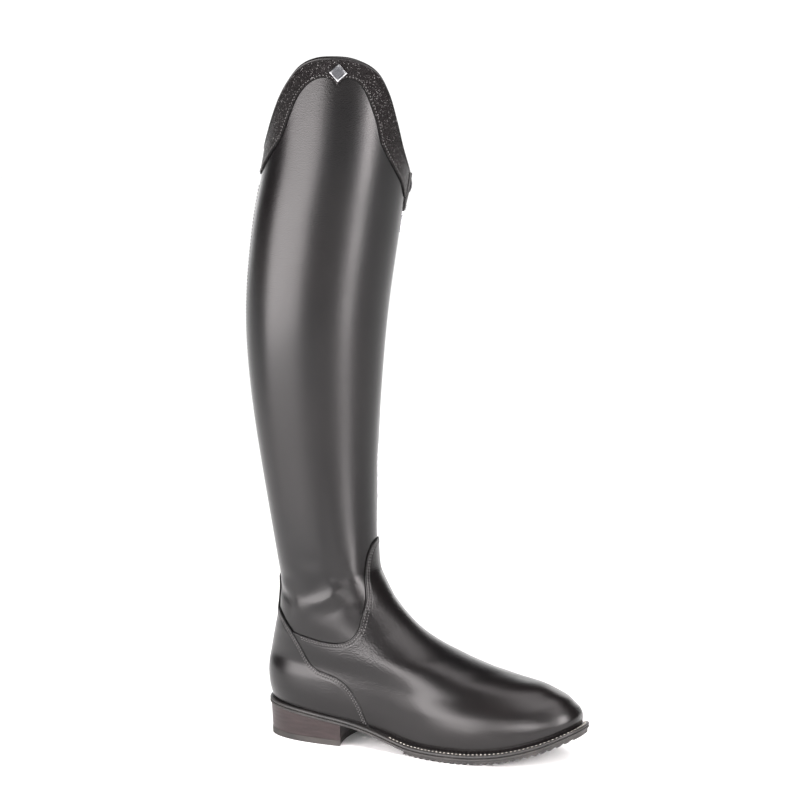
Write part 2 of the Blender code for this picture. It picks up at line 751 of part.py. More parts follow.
def heel_rows(inset):
    last = angle_of(HEEL_LENGTH / SOLE_LENGTH)
    angles = [math.radians(1.5)] + [last * k / 10 for k in range(1, 11)]

    def shift(t, share):
        return BREAST_CURVE * (t / last) ** 4 * (1 - (2 * share - 1) ** 2)

    return ladder(angles, lambda t: inset, 5, shift)


def heel_block():
    top = heel_rows(HEEL_INSET)
    bottom = heel_rows(HEEL_INSET + HEEL_TAPER)
    high = [[place(x, y, outsole_underside(x) - SEAM_GAP) for x, y in row] for row in top]
    low = [[place(x, y, TOP_PIECE + SEAM_GAP) for x, y in row] for row in bottom]
    return closed_solid("heel_block", high, low)


def heel_top_piece():
    rows = heel_rows(HEEL_INSET + HEEL_TAPER)
    return slab("heel_top_piece", rows, lambda x: 0.0, lambda x: TOP_PIECE)


# Materials
def paint(part, name, colour, roughness, metallic=0.0):
    material = bpy.data.materials.new(part.name + "_" + name)
    material.use_nodes = True
    shader = material.node_tree.nodes["Principled BSDF"]
    shader.inputs["Base Color"].default_value = (*colour, 1.0)
    shader.inputs["Roughness"].default_value = roughness
    shader.inputs["Metallic"].default_value = metallic
    part.data.materials.append(material)


def paint_leather(part):
    paint(part, "leather", (0.022, 0.021, 0.022), 0.35)


def paint_glitter(part):
    paint(part, "glitter", (0.03, 0.03, 0.03), 0.55)


def paint_metal(part):
    paint(part, "metal", (0.75, 0.75, 0.76), 0.15, 1.0)


def paint_rubber(part):
    paint(part, "rubber", (0.03, 0.028, 0.027), 0.7)


def paint_heel(part):
    paint(part, "heel", (0.05, 0.045, 0.042), 0.5)


def paint_lining(part):
    paint(part, "lining", (0.09, 0.07, 0.055), 0.7)


def paint_tape(part):
    paint(part, "tape", (0.02, 0.02, 0.02), 0.9)


COLLECTION = "dress_riding_boot"
CUTTERS = "cutters"

SUBPARTS = (
    (upper, paint_leather),
    (vamp, paint_leather),
    (heel_counter, paint_leather),
    (glitter_trim, paint_glitter),
    (collar_binding, paint_leather),
    (badge, paint_metal),
    (closing_tab, paint_leather),
    (press_stud, paint_leather),
    (zip_tape, paint_tape),
    (zip_teeth, paint_metal),
    (zip_slider, paint_metal),
    (zip_pull, paint_metal),
    (welt, paint_rubber),
    (insole, paint_lining),
    (outsole, paint_rubber),
    (forefoot_tread, paint_rubber),
    (heel_block, paint_heel),
    (heel_top_piece, paint_rubber),
)


def clear_scene():
    for item in list(bpy.data.objects):
        bpy.data.objects.remove(item)
    for name in (COLLECTION, CUTTERS):
        group = bpy.data.collections.new(name)
        bpy.context.scene.collection.children.link(group)


def build():
    clear_scene()
    for make, finish in SUBPARTS:
        finish(make())


build()
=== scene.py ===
import math
from collections import namedtuple
from functools import lru_cache

import bmesh
import bpy
import numpy as np
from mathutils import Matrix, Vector
from mathutils.kdtree import KDTree

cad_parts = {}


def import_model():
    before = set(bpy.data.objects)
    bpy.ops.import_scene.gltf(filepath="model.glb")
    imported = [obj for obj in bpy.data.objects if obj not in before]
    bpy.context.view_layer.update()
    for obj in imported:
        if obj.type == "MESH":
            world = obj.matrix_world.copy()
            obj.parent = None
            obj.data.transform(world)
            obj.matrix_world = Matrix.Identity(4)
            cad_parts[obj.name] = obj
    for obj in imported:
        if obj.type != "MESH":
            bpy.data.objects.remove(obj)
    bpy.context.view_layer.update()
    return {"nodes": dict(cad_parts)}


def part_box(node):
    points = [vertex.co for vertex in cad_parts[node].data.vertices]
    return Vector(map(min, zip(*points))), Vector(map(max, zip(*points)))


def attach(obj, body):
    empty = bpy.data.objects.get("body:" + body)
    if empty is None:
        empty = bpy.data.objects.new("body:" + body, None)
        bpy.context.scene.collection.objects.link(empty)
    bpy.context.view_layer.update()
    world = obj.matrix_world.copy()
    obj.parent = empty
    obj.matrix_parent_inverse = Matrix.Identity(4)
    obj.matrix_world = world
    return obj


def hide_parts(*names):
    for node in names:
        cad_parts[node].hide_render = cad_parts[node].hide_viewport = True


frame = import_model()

# Driving sizes, in metres
SOLE_LENGTH = 0.270
BALL_WIDTH = 0.100
INSTEP_RISE = 0.100
HEEL_SEAT_RISE = 0.0225
TOE_SPRING = 0.0235
ANKLE_HEIGHT = 0.146
FRONT_DIP_HEIGHT = 0.456
APEX_HEIGHT = 0.546
CALF_DEPTH = 0.118
CALF_WIDTH = 0.100
SHAFT_TWIST = math.radians(25)

# Layers and gaps
SEAM_GAP = 0.0003
WALL = 0.0020
TREAD = 0.0022
RIB_DEPTH = 0.0012
RIB_PITCH = 0.0052
RIB_FLANK = 0.0005
OUTSOLE = 0.0026
WELT = 0.0024
WELT_EDGE_TOE = 0.0065
WELT_EDGE_HEEL = 0.0045
WELT_LEDGE = 0.0030

# Heel
HEEL_LENGTH = 0.0745
BREAST_CURVE = 0.006
HEEL_INSET = 0.0010
HEEL_TAPER = 0.0012
TOP_PIECE = 0.0048

# Collar, badge, tab and zip
BADGE_REACH = 0.0070
TAB_THICKNESS = 0.0026
TAB_LENGTH = 0.021
TAB_TAIL = 0.011
STUD_RADIUS = 0.0062
STUD_HEIGHT = 0.0019
ZIP_ANGLE = math.radians(198)
ZIP_TAPE_WIDTH = 0.013
ZIP_TAPE = 0.0005
ZIP_CLEARANCE = 0.0008
SLIDER_LENGTH = 0.010

# Underside of the outsole: share of the length, share of the heel rise or of the toe spring
BOTTOM = ((0.0, 1.0), (0.14, 0.86), (0.29, 0.64), (0.36, 0.46), (0.44, 0.19), (0.50, 0.03), (0.54, 0.0))
SPRING = ((0.61, 0.0), (0.70, 0.035), (0.80, 0.18), (0.90, 0.50), (1.0, 1.0))
TREAD_START = 0.485

OutlineRow = namedtuple("OutlineRow", "along lateral medial")
OUTLINE = (
    OutlineRow(0.00, 1.04, 1.04),
    OutlineRow(0.06, 1.02, 1.02),
    OutlineRow(0.12, 0.97, 0.95),
    OutlineRow(0.20, 0.89, 0.83),
    OutlineRow(0.30, 0.80, 0.68),
    OutlineRow(0.40, 0.77, 0.61),
    OutlineRow(0.50, 0.84, 0.68),
    OutlineRow(0.58, 0.94, 0.83),
    OutlineRow(0.66, 1.00, 1.00),
    OutlineRow(0.75, 1.03, 1.08),
    OutlineRow(0.85, 1.03, 1.05),
    OutlineRow(0.93, 0.99, 0.99),
    OutlineRow(1.00, 0.93, 0.93),
)
OUTLINE_POWER = 0.8

# Sections of the foot: x as shares of the length, rises of the instep rise, widths of the feather line
FootRow = namedtuple("FootRow", "front front_rise back back_rise lateral medial widest taper sole twist")
FOOT = (
    FootRow(0.973, 0.00, 0.020, 0.00, 1.00, 1.00, 0.50, 2.0, 1.00, 0.00),
    FootRow(0.977, 0.10, 0.005, 0.13, 1.04, 1.04, 0.50, 2.0, 1.00, 0.00),
    FootRow(0.958, 0.215, 0.002, 0.26, 1.00, 1.00, 0.45, 2.0, 0.90, 0.00),
    FootRow(0.892, 0.345, 0.007, 0.37, 0.89, 0.88, 0.38, 1.9, 0.60, 0.00),
    FootRow(0.778, 0.505, 0.014, 0.48, 0.84, 0.82, 0.32, 1.9, 0.28, 0.00),
    FootRow(0.622, 0.660, 0.022, 0.59, 0.80, 0.78, 0.32, 1.8, 0.10, 0.00),
    FootRow(0.488, 0.810, 0.029, 0.71, 0.79, 0.77, 0.38, 1.8, 0.00, 0.05),
    FootRow(0.396, 0.960, 0.035, 0.83, 0.78, 0.77, 0.45, 1.9, 0.00, 0.15),
    FootRow(0.346, 1.130, 0.038, 0.99, 0.78, 0.78, 0.50, 2.0, 0.00, 0.30),
)
# Sections of the shaft, evenly spaced in height: middle as a share of the length
ShaftRow = namedtuple("ShaftRow", "middle depth width twist")
SHAFT = (
    ShaftRow(0.178, 0.686, 0.70, 0.50),
    ShaftRow(0.154, 0.768, 0.76, 0.75),
    ShaftRow(0.143, 0.880, 0.88, 0.92),
    ShaftRow(0.148, 0.957, 0.98, 1.00),
    ShaftRow(0.178, 0.988, 1.00, 1.00),
    ShaftRow(0.221, 0.970, 1.00, 1.00),
    ShaftRow(0.243, 0.955, 1.00, 1.00),
)

# Seam lines: angle round the leg in degrees, 0 at the back and 180 in front, and level of the form
COUNTER_LINE = ((0, 8.15), (9, 8.10), (12, 7.90), (14, 7.0), (17, 6.38), (28, 6.15), (38, 5.72), (46, 5.12),
                (49, 4.38), (51, 3.45), (53, 2.95), (57, 2.67), (62, 2.57), (66, 2.38), (69, 2.02),
                (72, 1.25), (74.5, 0.20))
# Top line and lower edge of the trim: angle, and share of the rise from the front dip to the apex
COLLAR_LINE = ((0, 0.20), (10, 0.31), (20, 0.46), (30, 0.61), (40, 0.74), (52, 0.885), (64, 0.97), (76, 1.0),
               (88, 0.99), (98, 0.95), (115, 0.82), (127, 0.64), (137, 0.44), (150, 0.20), (165, 0.05),
               (180, 0.0), (215, 0.04), (270, 0.24), (320, 0.24), (345, 0.20), (360, 0.20))
TRIM_LINE = ((0, -0.02), (11, 0.05), (25, 0.19), (37, 0.33), (44, 0.50), (52, 0.65), (62, 0.75), (72, 0.79),
             (79, 0.77), (83.5, 0.72), (88, 0.77), (96, 0.77), (103, 0.72), (110, 0.60), (118, 0.43),
             (124, 0.27), (138, 0.08), (155, -0.08), (172, -0.22), (215, -0.14), (270, 0.04), (330, 0.02),
             (360, -0.02))
ZIP_FOOT_LEVEL = 9.6
TRIM_FRONT = (172, 214)
TAB_TAIL_LINE = ((0.0, 0.35), (0.14, 0.85), (0.24, 1.0), (0.36, 0.75), (0.55, 0.25), (0.8, 0.03), (1.0, 0.0))
TAB_SPAN = (176, 210)


def mix(a, b, share):
    return a + (b - a) * share


def blend(t, low, high, start, end):
    """Curve from one value to the next, with a slope at each end."""
    return ((1 + 2 * t) * (1 - t) ** 2 * low + t * (1 - t) ** 2 * start
            + t * t * (3 - 2 * t) * high - t * t * (1 - t) * end)


def smooth(table, x):
    """Smooth curve through rows of (x, y)."""
    last = len(table) - 1
    if x <= table[0][0]:
        return table[0][1]
    if x >= table[last][0]:
        return table[last][1]
    i = max(k for k in range(last) if table[k][0] <= x)

    def slope(k):
        low, high = max(k - 1, 0), min(k + 1, last)
        return (table[high][1] - table[low][1]) / (table[high][0] - table[low][0])

    width = table[i + 1][0] - table[i][0]
    t = (x - table[i][0]) / width
    return blend(t, table[i][1], table[i + 1][1], width * slope(i), width * slope(i + 1))


def place(x, across, z):
    """From the last's own measures (lateral positive) to the frame, with its origin under the heel."""
    return Vector((x - HEEL_LENGTH / 2, -across, z))


# Sole outline and the heights of its layers
def outsole_underside(x):
    share = x / SOLE_LENGTH
    if share < SPRING[0][0]:
        return TREAD + SEAM_GAP + HEEL_SEAT_RISE * smooth(BOTTOM, share)
    return TREAD + SEAM_GAP + TOE_SPRING * smooth(SPRING, share)


def welt_underside(x):
    return outsole_underside(x) + OUTSOLE + SEAM_GAP


@lru_cache(maxsize=None)
def seat_height(x):
    return welt_underside(x) + WELT + SEAM_GAP


def outline_table(side):
    return tuple((row.along, getattr(row, side)) for row in OUTLINE)


LATERAL = outline_table("lateral")
MEDIAL = outline_table("medial")


def sole_edge(theta, inset=0.0):
    """Point (x, across) on the sole's outline, moved inwards by the inset."""
    def edge(angle):
        share = (1 - math.cos(angle)) / 2
        reach = smooth(LATERAL if math.sin(angle) >= 0 else MEDIAL, share)
        half = reach * BALL_WIDTH / 2 * abs(math.sin(angle)) ** OUTLINE_POWER
        return share * SOLE_LENGTH, math.copysign(half, math.sin(angle))

    x, across = edge(theta)
    before = edge(theta - 0.03)
    after = edge(theta + 0.03)
    run = after[0] - before[0]
    rise = after[1] - before[1]
    size = math.hypot(run, rise)
    return x + rise / size * inset, across - run / size * inset


def feather_inset(theta):
    t = min(1.0, max(0.0, ((1 - math.cos(theta)) / 2 - 0.2) / 0.3))
    return mix(WELT_EDGE_HEEL, WELT_EDGE_TOE, t * t * (3 - 2 * t))


@lru_cache(maxsize=None)
def feather_edge(theta):
    return sole_edge(theta, feather_inset(theta))


FEATHER_BACK = feather_edge(0.0)[0]
FEATHER_FRONT = feather_edge(math.pi)[0]
FEATHER_HALF = max(feather_edge(math.radians(angle))[1] for angle in range(60, 150, 2))

# The form of the last and leg
Section = namedtuple("Section", "front_x front_z back_x back_z lateral medial widest taper sole twist")
ANKLE_LEVEL = len(FOOT)
TOP_LEVEL = len(FOOT) + len(SHAFT) - 1
SHAFT_STEP = (APEX_HEIGHT - ANKLE_HEIGHT) / (len(SHAFT) - 1)


def foot_section(row, feather):
    front = FEATHER_FRONT if feather else row.front * SOLE_LENGTH
    back = FEATHER_BACK if feather else row.back * SOLE_LENGTH
    return Section(front, seat_height(front) + row.front_rise * INSTEP_RISE,
                   back, seat_height(back) + row.back_rise * INSTEP_RISE,
                   row.lateral * FEATHER_HALF, row.medial * FEATHER_HALF,
                   row.widest, row.taper, row.sole, row.twist * SHAFT_TWIST)


def shaft_section(row, step):
    middle = row.middle * SOLE_LENGTH
    half = row.depth * CALF_DEPTH / 2
    side = row.width * CALF_WIDTH / 2
    z = ANKLE_HEIGHT + step * SHAFT_STEP
    return Section(middle + half, z, middle - half, z, side, side, 0.5, 2.0, 0.0, row.twist * SHAFT_TWIST)


SECTIONS = ([foot_section(row, k == 0) for k, row in enumerate(FOOT)]
            + [shaft_section(row, k) for k, row in enumerate(SHAFT)])

# Most that a slope may exceed the shorter step beside it
SLOPE_HOLD = 2.4

@lru_cache(maxsize=None)
def section(level):
    level = min(max(level, 0.0), float(TOP_LEVEL))
    i = min(int(level), TOP_LEVEL - 1)
    t = level - i
    rows = (SECTIONS[max(i - 1, 0)], SECTIONS[i], SECTIONS[i + 1], SECTIONS[min(i + 2, TOP_LEVEL)])
    values = []
    for before, low, high, after in zip(*rows):
        start = held_slope(low - before, high - low)
        end = held_slope(high - low, after - high)
        values.append(blend(t, low, high, start, end))
    return Section(*values)


def held_slope(before, after):
    """Mean of two steps, held back where a short step meets a long one."""
    mean = (before + after) / 2
    if before * after <= 0:
        return mean
    most = SLOPE_HOLD * min(abs(before), abs(after))
    return max(-most, min(most, mean))


def oval_shape(theta, widest, taper):
    share = (1 - math.cos(theta)) / 2
    if share < widest:
        return share, (1 - ((widest - share) / widest) ** 2.1) ** (1 / 2.1)
    return share, (1 - min(1.0, (share - widest) / (1 - widest)) ** taper) ** (1 / taper)


def form_point(theta, level):
    """Point (x, across, z) on the outside of the last and leg."""
    cut = section(level)
    share, half = oval_shape(theta, cut.widest, cut.taper)
    if cut.sole > 0.001:
        x, across = feather_edge(theta)
        plan = (x - FEATHER_BACK) / (FEATHER_FRONT - FEATHER_BACK)
        share = mix(share, plan, cut.sole)
        half = mix(half, abs(across) / FEATHER_HALF, cut.sole)
    x = mix(cut.back_x, cut.front_x, share)
    z = mix(cut.back_z, cut.front_z, share)
    line = mix(seat_height(cut.back_x), seat_height(cut.front_x), share)
    z += cut.sole * (seat_height(x) - line)
    across = math.copysign(half * (cut.lateral if math.sin(theta) >= 0 else cut.medial), math.sin(theta))
    middle = (cut.back_x + cut.front_x) / 2
    turn, lean = math.cos(cut.twist), math.sin(cut.twist)
    return middle + (x - middle) * turn + across * lean, across * turn - (x - middle) * lean, z


def tangents(theta, level):
    ahead = place(*form_point(theta + 0.02, level))
    behind = place(*form_point(theta - 0.02, level))
    above = place(*form_point(theta, min(level + 0.04, TOP_LEVEL)))
    below = place(*form_point(theta, max(min(level + 0.04, TOP_LEVEL) - 0.08, 0.0)))
    return ahead - behind, above - below


def outward(theta, level):
    round_leg, up = tangents(theta, level)
    return round_leg.cross(up).normalized()


def skin(theta, level, out=0.0):
    """Point in the frame at a distance out from the form."""
    return place(*form_point(theta, level)) + outward(theta, level) * out


def level_at(height):
    return ANKLE_LEVEL + (height - ANKLE_HEIGHT) / SHAFT_STEP


def share_level(share):
    return level_at(mix(FRONT_DIP_HEIGHT, APEX_HEIGHT, share))


def collar_level(theta):
    return share_level(smooth(COLLAR_LINE, math.degrees(theta) % 360))


def trim_level(theta):
    return share_level(smooth(TRIM_LINE, math.degrees(theta) % 360))


# The form as fields over angle in degrees and level, smoothed at the ankle
LEVEL_STEP = 0.05
ANKLE_SMOOTHING = 140
ANKLE_FROM = 7.2
ANKLE_FADE_IN = 0.8
ANKLE_TO = 11.6
ANKLE_FADE_OUT = 1.2

# Overlays on the form, and the stitches in them
OVERLAY_OUT = 0.0013
LAP_OUT = 0.0019
EDGE_RADIUS = 0.0009
EDGE_SHARE = 0.35
UNDERLAP = 0.0004
STITCH_DIP = 0.00018
DIP_HALF_WIDTH = 0.0007
SEAM_ROWS = (0.0016, 0.0035)
STITCH_PITCH = 0.0024
STITCH_LENGTH = 0.0015
STITCH_RADIUS = 0.00044
STITCH_SIDES = 6
# One stitch: place along it, thickness and height, as shares of its own size
STITCH_SHAPE = ((-1.0, 0.15, -1.2), (-0.75, 0.8, -0.2), (0.0, 1.0, 0.25), (0.75, 0.8, -0.2),
                (1.0, 0.15, -1.2))


def form_fields():
    """Points, normals, metres per degree and metres per level on a regular grid."""
    levels = np.arange(0, TOP_LEVEL + LEVEL_STEP / 2, LEVEL_STEP)
    points = np.empty((len(levels), 360, 3))
    for i, level in enumerate(levels):
        for j in range(360):
            x, across, z = form_point(math.radians(j), float(level))
            points[i, j] = (x - HEEL_LENGTH / 2, -across, z)
    fade = np.minimum((levels - ANKLE_FROM) / ANKLE_FADE_IN, (ANKLE_TO - levels) / ANKLE_FADE_OUT)
    fade = np.clip(fade, 0, 1)[:, None, None]
    for step in range(ANKLE_SMOOTHING):
        normals = slopes(points)[0]
        lift = np.zeros_like(points)
        lift[1:-1] = (points[:-2] + points[2:]) / 2 - points[1:-1]
        points = points + normals * ((lift * normals).sum(-1, keepdims=True) * fade * 0.5)
    return (points, *slopes(points))


def slopes(points):
    """Outward unit vectors, and metres per degree and per level."""
    round_leg = (np.roll(points, -1, axis=1) - np.roll(points, 1, axis=1)) / 2
    up = np.gradient(points, axis=0) / LEVEL_STEP
    normals = np.cross(round_leg, up)
    normals /= np.linalg.norm(normals, axis=2, keepdims=True)
    return normals, np.linalg.norm(round_leg, axis=2), np.linalg.norm(up, axis=2)


def taps(t):
    """Weights of four neighbours for a smooth curve through the middle two."""
    return (-0.5 * t + t * t - 0.5 * t ** 3, 1 - 2.5 * t * t + 1.5 * t ** 3,
            0.5 * t + 2 * t * t - 1.5 * t ** 3, -0.5 * t * t + 0.5 * t ** 3)


def sample(field, angle, level):
    """Smooth value of a field at angles in degrees and levels."""
    u = np.mod(angle, 360.0)
    v = np.clip(level, 0, TOP_LEVEL) / LEVEL_STEP
    j = np.floor(u).astype(int)
    i = np.minimum(np.floor(v).astype(int), len(field) - 2)
    across, along = taps(u - j), taps(v - i)
    total = 0.0
    for a in range(4):
        row = np.clip(i + a - 1, 0, len(field) - 1)
        for b in range(4):
            weight = along[a] * across[b]
            value = field[row, (j + b - 1) % 360]
            total = total + (value * weight[..., None] if field.ndim == 3 else value * weight)
    return total


# Degrees that count as much as one level along a seam
LEVEL_WEIGHT = 11


def resample(line, count):
    """Even points along a smooth line through rows of numbers."""
    line = [tuple(float(v) for v in row) for row in line]
    ends = [0.0]
    for a, b in zip(line, line[1:]):
        ends.append(ends[-1] + math.hypot(b[0] - a[0], (b[1] - a[1]) * LEVEL_WEIGHT))
    stops = np.linspace(0, ends[-1], count)
    return np.array([[smooth([(e, row[k]) for e, row in zip(ends, line)], s) for k in range(len(line[0]))]
                     for s in stops])


# Soft ridges and troughs of the worn leather: height, half width and line of (angle, level)
CREASES = (
    (-0.0012, 0.0060, ((97, 9.35), (105, 8.75), (113, 7.95), (113, 7.35))),
    (0.0009, 0.0044, ((66, 6.85), (77, 7.02), (94, 7.32), (108, 7.69), (117, 8.10))),
    (-0.0008, 0.0058, ((58, 7.25), (76, 7.55), (92, 8.05), (99, 8.60))),
    (-0.0004, 0.0052, ((76, 6.40), (92, 6.72), (108, 7.10), (121, 7.55))),
    (0.0007, 0.0075, ((124, 8.35), (130, 8.82), (133, 9.50))),
    (-0.0012, 0.0050, ((12, 7.62), (28, 7.40), (44, 7.22), (58, 7.02))),
    (0.0009, 0.0080, ((50, 6.78), (62, 6.67), (74, 6.60))),
    (-0.0005, 0.0060, ((14, 8.55), (34, 8.25), (56, 8.30), (72, 8.60))),
    (0.0005, 0.0070, ((20, 7.95), (40, 7.75), (58, 7.78))),
    (-0.0004, 0.0070, ((60, 9.30), (80, 9.05), (96, 9.25))),
    (-0.00014, 0.0014, ((127, 7.00), (135, 6.86), (145, 6.92))),
    (-0.00012, 0.0013, ((124, 6.80), (133, 6.66), (143, 6.68))),
    (-0.00012, 0.0013, ((128, 6.58), (136, 6.46), (146, 6.52))),
    (-0.00018, 0.0016, ((112, 5.70), (124, 5.85), (136, 6.10))),
    (-0.00016, 0.0016, ((108, 5.10), (121, 5.35), (135, 5.75))),
    (0.0004, 0.0070, ((100, 4.20), (122, 4.60), (150, 4.90), (180, 5.00))),
    (-0.0005, 0.0070, ((104, 3.60), (126, 3.95), (152, 4.20), (180, 4.30))),
    (0.0013, 0.0150, ((120, 3.0), (150, 3.3), (178, 3.3), (206, 3.3), (236, 3.0))),
    (-0.0014, 0.0070, ((128, 1.75), (150, 1.80), (178, 1.85), (206, 1.80), (228, 1.75))),
)
CREASE_SAMPLES = 80
CREASE_FADE = 1.3
CREASE_REACH = 3.2
# The inner side's creases are a little weaker, turned and higher
FAR_SIDE = 0.85
FAR_TURN = 4
FAR_RISE = 0.08


def crease_paths():
    """Points, heights and half width of each crease, on the outer and on the inner side."""
    paths = []
    for height, width, line in CREASES:
        far_line = [(360 - angle + FAR_TURN, level + FAR_RISE) for angle, level in line]
        for rows, strength in ((line, 1.0), (far_line, FAR_SIDE)):
            track = resample(rows, CREASE_SAMPLES)
            points = sample(POINTS, track[:, 0], track[:, 1])
            fade = np.sin(np.linspace(0, math.pi, len(points))) ** CREASE_FADE
            paths.append((points, height * strength * fade, width))
    return paths


def relief(points):
    """Height of the creases at points on the form."""
    flat = points.reshape(-1, 3)
    total = np.zeros(len(flat))
    for path, height, width in PATHS:
        reach = width * CREASE_REACH
        near = np.all((flat > path.min(0) - reach) & (flat < path.max(0) + reach), axis=1)
        chosen = flat[near]
        if not len(chosen):
            continue
        gaps = ((chosen[:, None] - path[None]) ** 2).sum(-1)
        nearest = gaps.argmin(1)
        total[near] += height[nearest] * np.exp(-gaps.min(1) / width ** 2)
    return total.reshape(points.shape[:-1])


def normal_at(angle, level):
    normal = sample(NORMALS, angle, level)
    return normal / np.linalg.norm(normal, axis=-1, keepdims=True)


def surface(angle, level, out=0.0):
    """Points at a distance out from the creased form."""
    base = sample(POINTS, angle, level)
    return base + normal_at(angle, level) * (out + relief(base))[..., None]


POINTS, NORMALS, PER_DEGREE, PER_LEVEL = form_fields()
PATHS = crease_paths()


def moved_line(angle, level, distance):
    """The line moved to its left by a distance, measured along the skin."""
    round_speed = sample(PER_DEGREE, angle, level)
    up_speed = sample(PER_LEVEL, angle, level)
    a = np.gradient(angle) * round_speed
    b = np.gradient(level) * up_speed
    size = np.maximum(np.hypot(a, b), 1e-9)
    return angle - b / size * distance / round_speed, level + a / size * distance / up_speed


# Meshes
MERGE_GAP = 0.000004
FLAT_EDGE = 0.000001


def new_piece(name, points, faces, material, sharp=45):
    mesh = bpy.data.meshes.new(name)
    mesh.from_pydata([tuple(p) for p in points], [], faces)
    work = bmesh.new()
    work.from_mesh(mesh)
    bmesh.ops.remove_doubles(work, verts=work.verts, dist=MERGE_GAP)
    bmesh.ops.dissolve_degenerate(work, edges=work.edges, dist=FLAT_EDGE)
    bmesh.ops.recalc_face_normals(work, faces=work.faces)
    work.to_mesh(mesh)
    work.free()
    mesh.polygons.foreach_set("use_smooth", [True] * len(mesh.polygons))
    mesh.set_sharp_from_angle(angle=math.radians(sharp))
    piece = bpy.data.objects.new(name, mesh)
    bpy.context.scene.collection.objects.link(piece)
    piece.data.materials.append(material)
    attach(piece, "boot")
    return piece


def grid_quads(rows, columns, closed, start=0, turned=False):
    """Faces of a grid of points, row by row."""
    faces = []
    for i in range(rows - 1):
        for j in range(columns if closed else columns - 1):
            k = (j + 1) % columns
            face = (i * columns + j, i * columns + k, (i + 1) * columns + k, (i + 1) * columns + j)
            faces.append(tuple(start + v for v in (reversed(face) if turned else face)))
    return faces


def tube_faces(rows, columns, start=0):
    """Tube with a face over each end."""
    faces = grid_quads(rows, columns, True, start)
    faces.append(tuple(start + k for k in reversed(range(columns))))
    faces.append(tuple(start + (rows - 1) * columns + k for k in range(columns)))
    return faces


def loop_faces(rows, columns, closed=True):
    """Grid whose last row meets its first."""
    size = rows * columns
    return [tuple(v % size for v in face) for face in grid_quads(rows + 1, columns, closed)]


def solid_faces(rows, columns, inner_rows, closed):
    """Outer grid, inner grid and the edges between them."""
    size = rows * columns
    faces = grid_quads(rows, columns, closed)
    faces += grid_quads(inner_rows, columns, closed, size, True)
    far, far_inner = (rows - 1) * columns, size + (inner_rows - 1) * columns
    for j in range(columns if closed else columns - 1):
        k = (j + 1) % columns
        faces.append((k, j, size + j, size + k))
        faces.append((far + j, far + k, far_inner + k, far_inner + j))
    if not closed:
        for i in range(rows - 1):
            near, end = i * columns, i * columns + columns - 1
            faces.append((near, near + columns, size + near + columns, size + near))
            faces.append((end + columns, end, size + end, size + end + columns))
    return faces


def wall(name, outer, inner, material, closed=False, sharp=45):
    """Solid between two grids of points, which may differ in their number of rows."""
    faces = solid_faces(outer.shape[0], outer.shape[1], inner.shape[0], closed)
    points = np.concatenate((outer.reshape(-1, 3), inner.reshape(-1, 3)))
    return new_piece(name, points, faces, material, sharp)


def point_tree(points):
    tree = KDTree(len(points))
    for k, point in enumerate(points):
        tree.insert(point, k)
    tree.balance()
    return tree


def edge_round(points, thickness, radius=EDGE_RADIUS, rows=()):
    """Thickness that falls off in a round towards the free edges, with a dip under each row of stitches."""
    tree = point_tree(np.concatenate((points[0], points[-1], points[:, 0], points[:, -1])))
    gaps = np.array([tree.find(p)[2] for p in points.reshape(-1, 3)]).reshape(points.shape[:2])
    share = np.clip(gaps / radius, 0, 1)
    dips = sum(np.exp(-((gaps - row) / DIP_HALF_WIDTH) ** 2) for row in rows)
    return thickness * (EDGE_SHARE + (1 - EDGE_SHARE) * np.sqrt(1 - (1 - share) ** 2)) - STITCH_DIP * dips


def edge_steps(count, sharpness=1.7):
    """Shares from 0 to 1, closer together at both ends."""
    t = np.linspace(-1, 1, count)
    return 0.5 + 0.5 * np.sign(t) * (1 - (1 - np.abs(t)) ** sharpness)


def run_along(path):
    """Distance along a path at each of its points."""
    return np.concatenate(([0], np.cumsum(np.linalg.norm(np.diff(path, axis=0), axis=1))))


def at_run(run, rows, distance):
    """Point or direction at a distance along a path."""
    return np.array([np.interp(distance, run, rows[:, k]) for k in range(3)])


def stitches(name, angle, level, out, pitch=STITCH_PITCH, long=STITCH_LENGTH):
    """A row of thread stitches that dip into the leather at their ends."""
    path = surface(angle, level, out)
    normals = normal_at(angle, level)
    thread_row(name, path, normals, DARK_THREAD, pitch, long, STITCH_RADIUS)


def thread_row(name, path, normals, material, pitch, long, thick):
    run = run_along(path)
    count = int(run[-1] / pitch)
    points = []
    faces = []
    for n in range(count):
        middle = (n + 0.5) * run[-1] / count
        spot = at_run(run, path, middle)
        out = at_run(run, normals, middle)
        ahead = at_run(run, path, middle + long / 2) - at_run(run, path, middle - long / 2)
        ahead /= np.linalg.norm(ahead)
        side = np.cross(out, ahead)
        side /= np.linalg.norm(side)
        start = len(points)
        for along, wide, high in STITCH_SHAPE:
            for k in range(STITCH_SIDES):
                turn = math.tau * k / STITCH_SIDES
                points.append(spot + ahead * along * long / 2 + side * math.cos(turn) * wide * thick
                              + out * (high + math.sin(turn) * wide) * thick)
        faces += tube_faces(len(STITCH_SHAPE), STITCH_SIDES, start)
    new_piece(name, points, faces, material, sharp=80)


# Materials
Tree = namedtuple("Tree", "material nodes links shader place")


def new_material(name, roughness, metallic=0.0, coat=0.0, coat_roughness=0.2, specular=0.5):
    material = bpy.data.materials.new(name)
    material.use_nodes = True
    nodes = material.node_tree.nodes
    shader = nodes["Principled BSDF"]
    for socket, value in (("Roughness", roughness), ("Metallic", metallic), ("Coat Weight", coat),
                          ("Coat Roughness", coat_roughness), ("Specular IOR Level", specular)):
        shader.inputs[socket].default_value = value
    coords = nodes.new("ShaderNodeTexCoord")
    return Tree(material, nodes, material.node_tree.links, shader, coords.outputs["Object"])


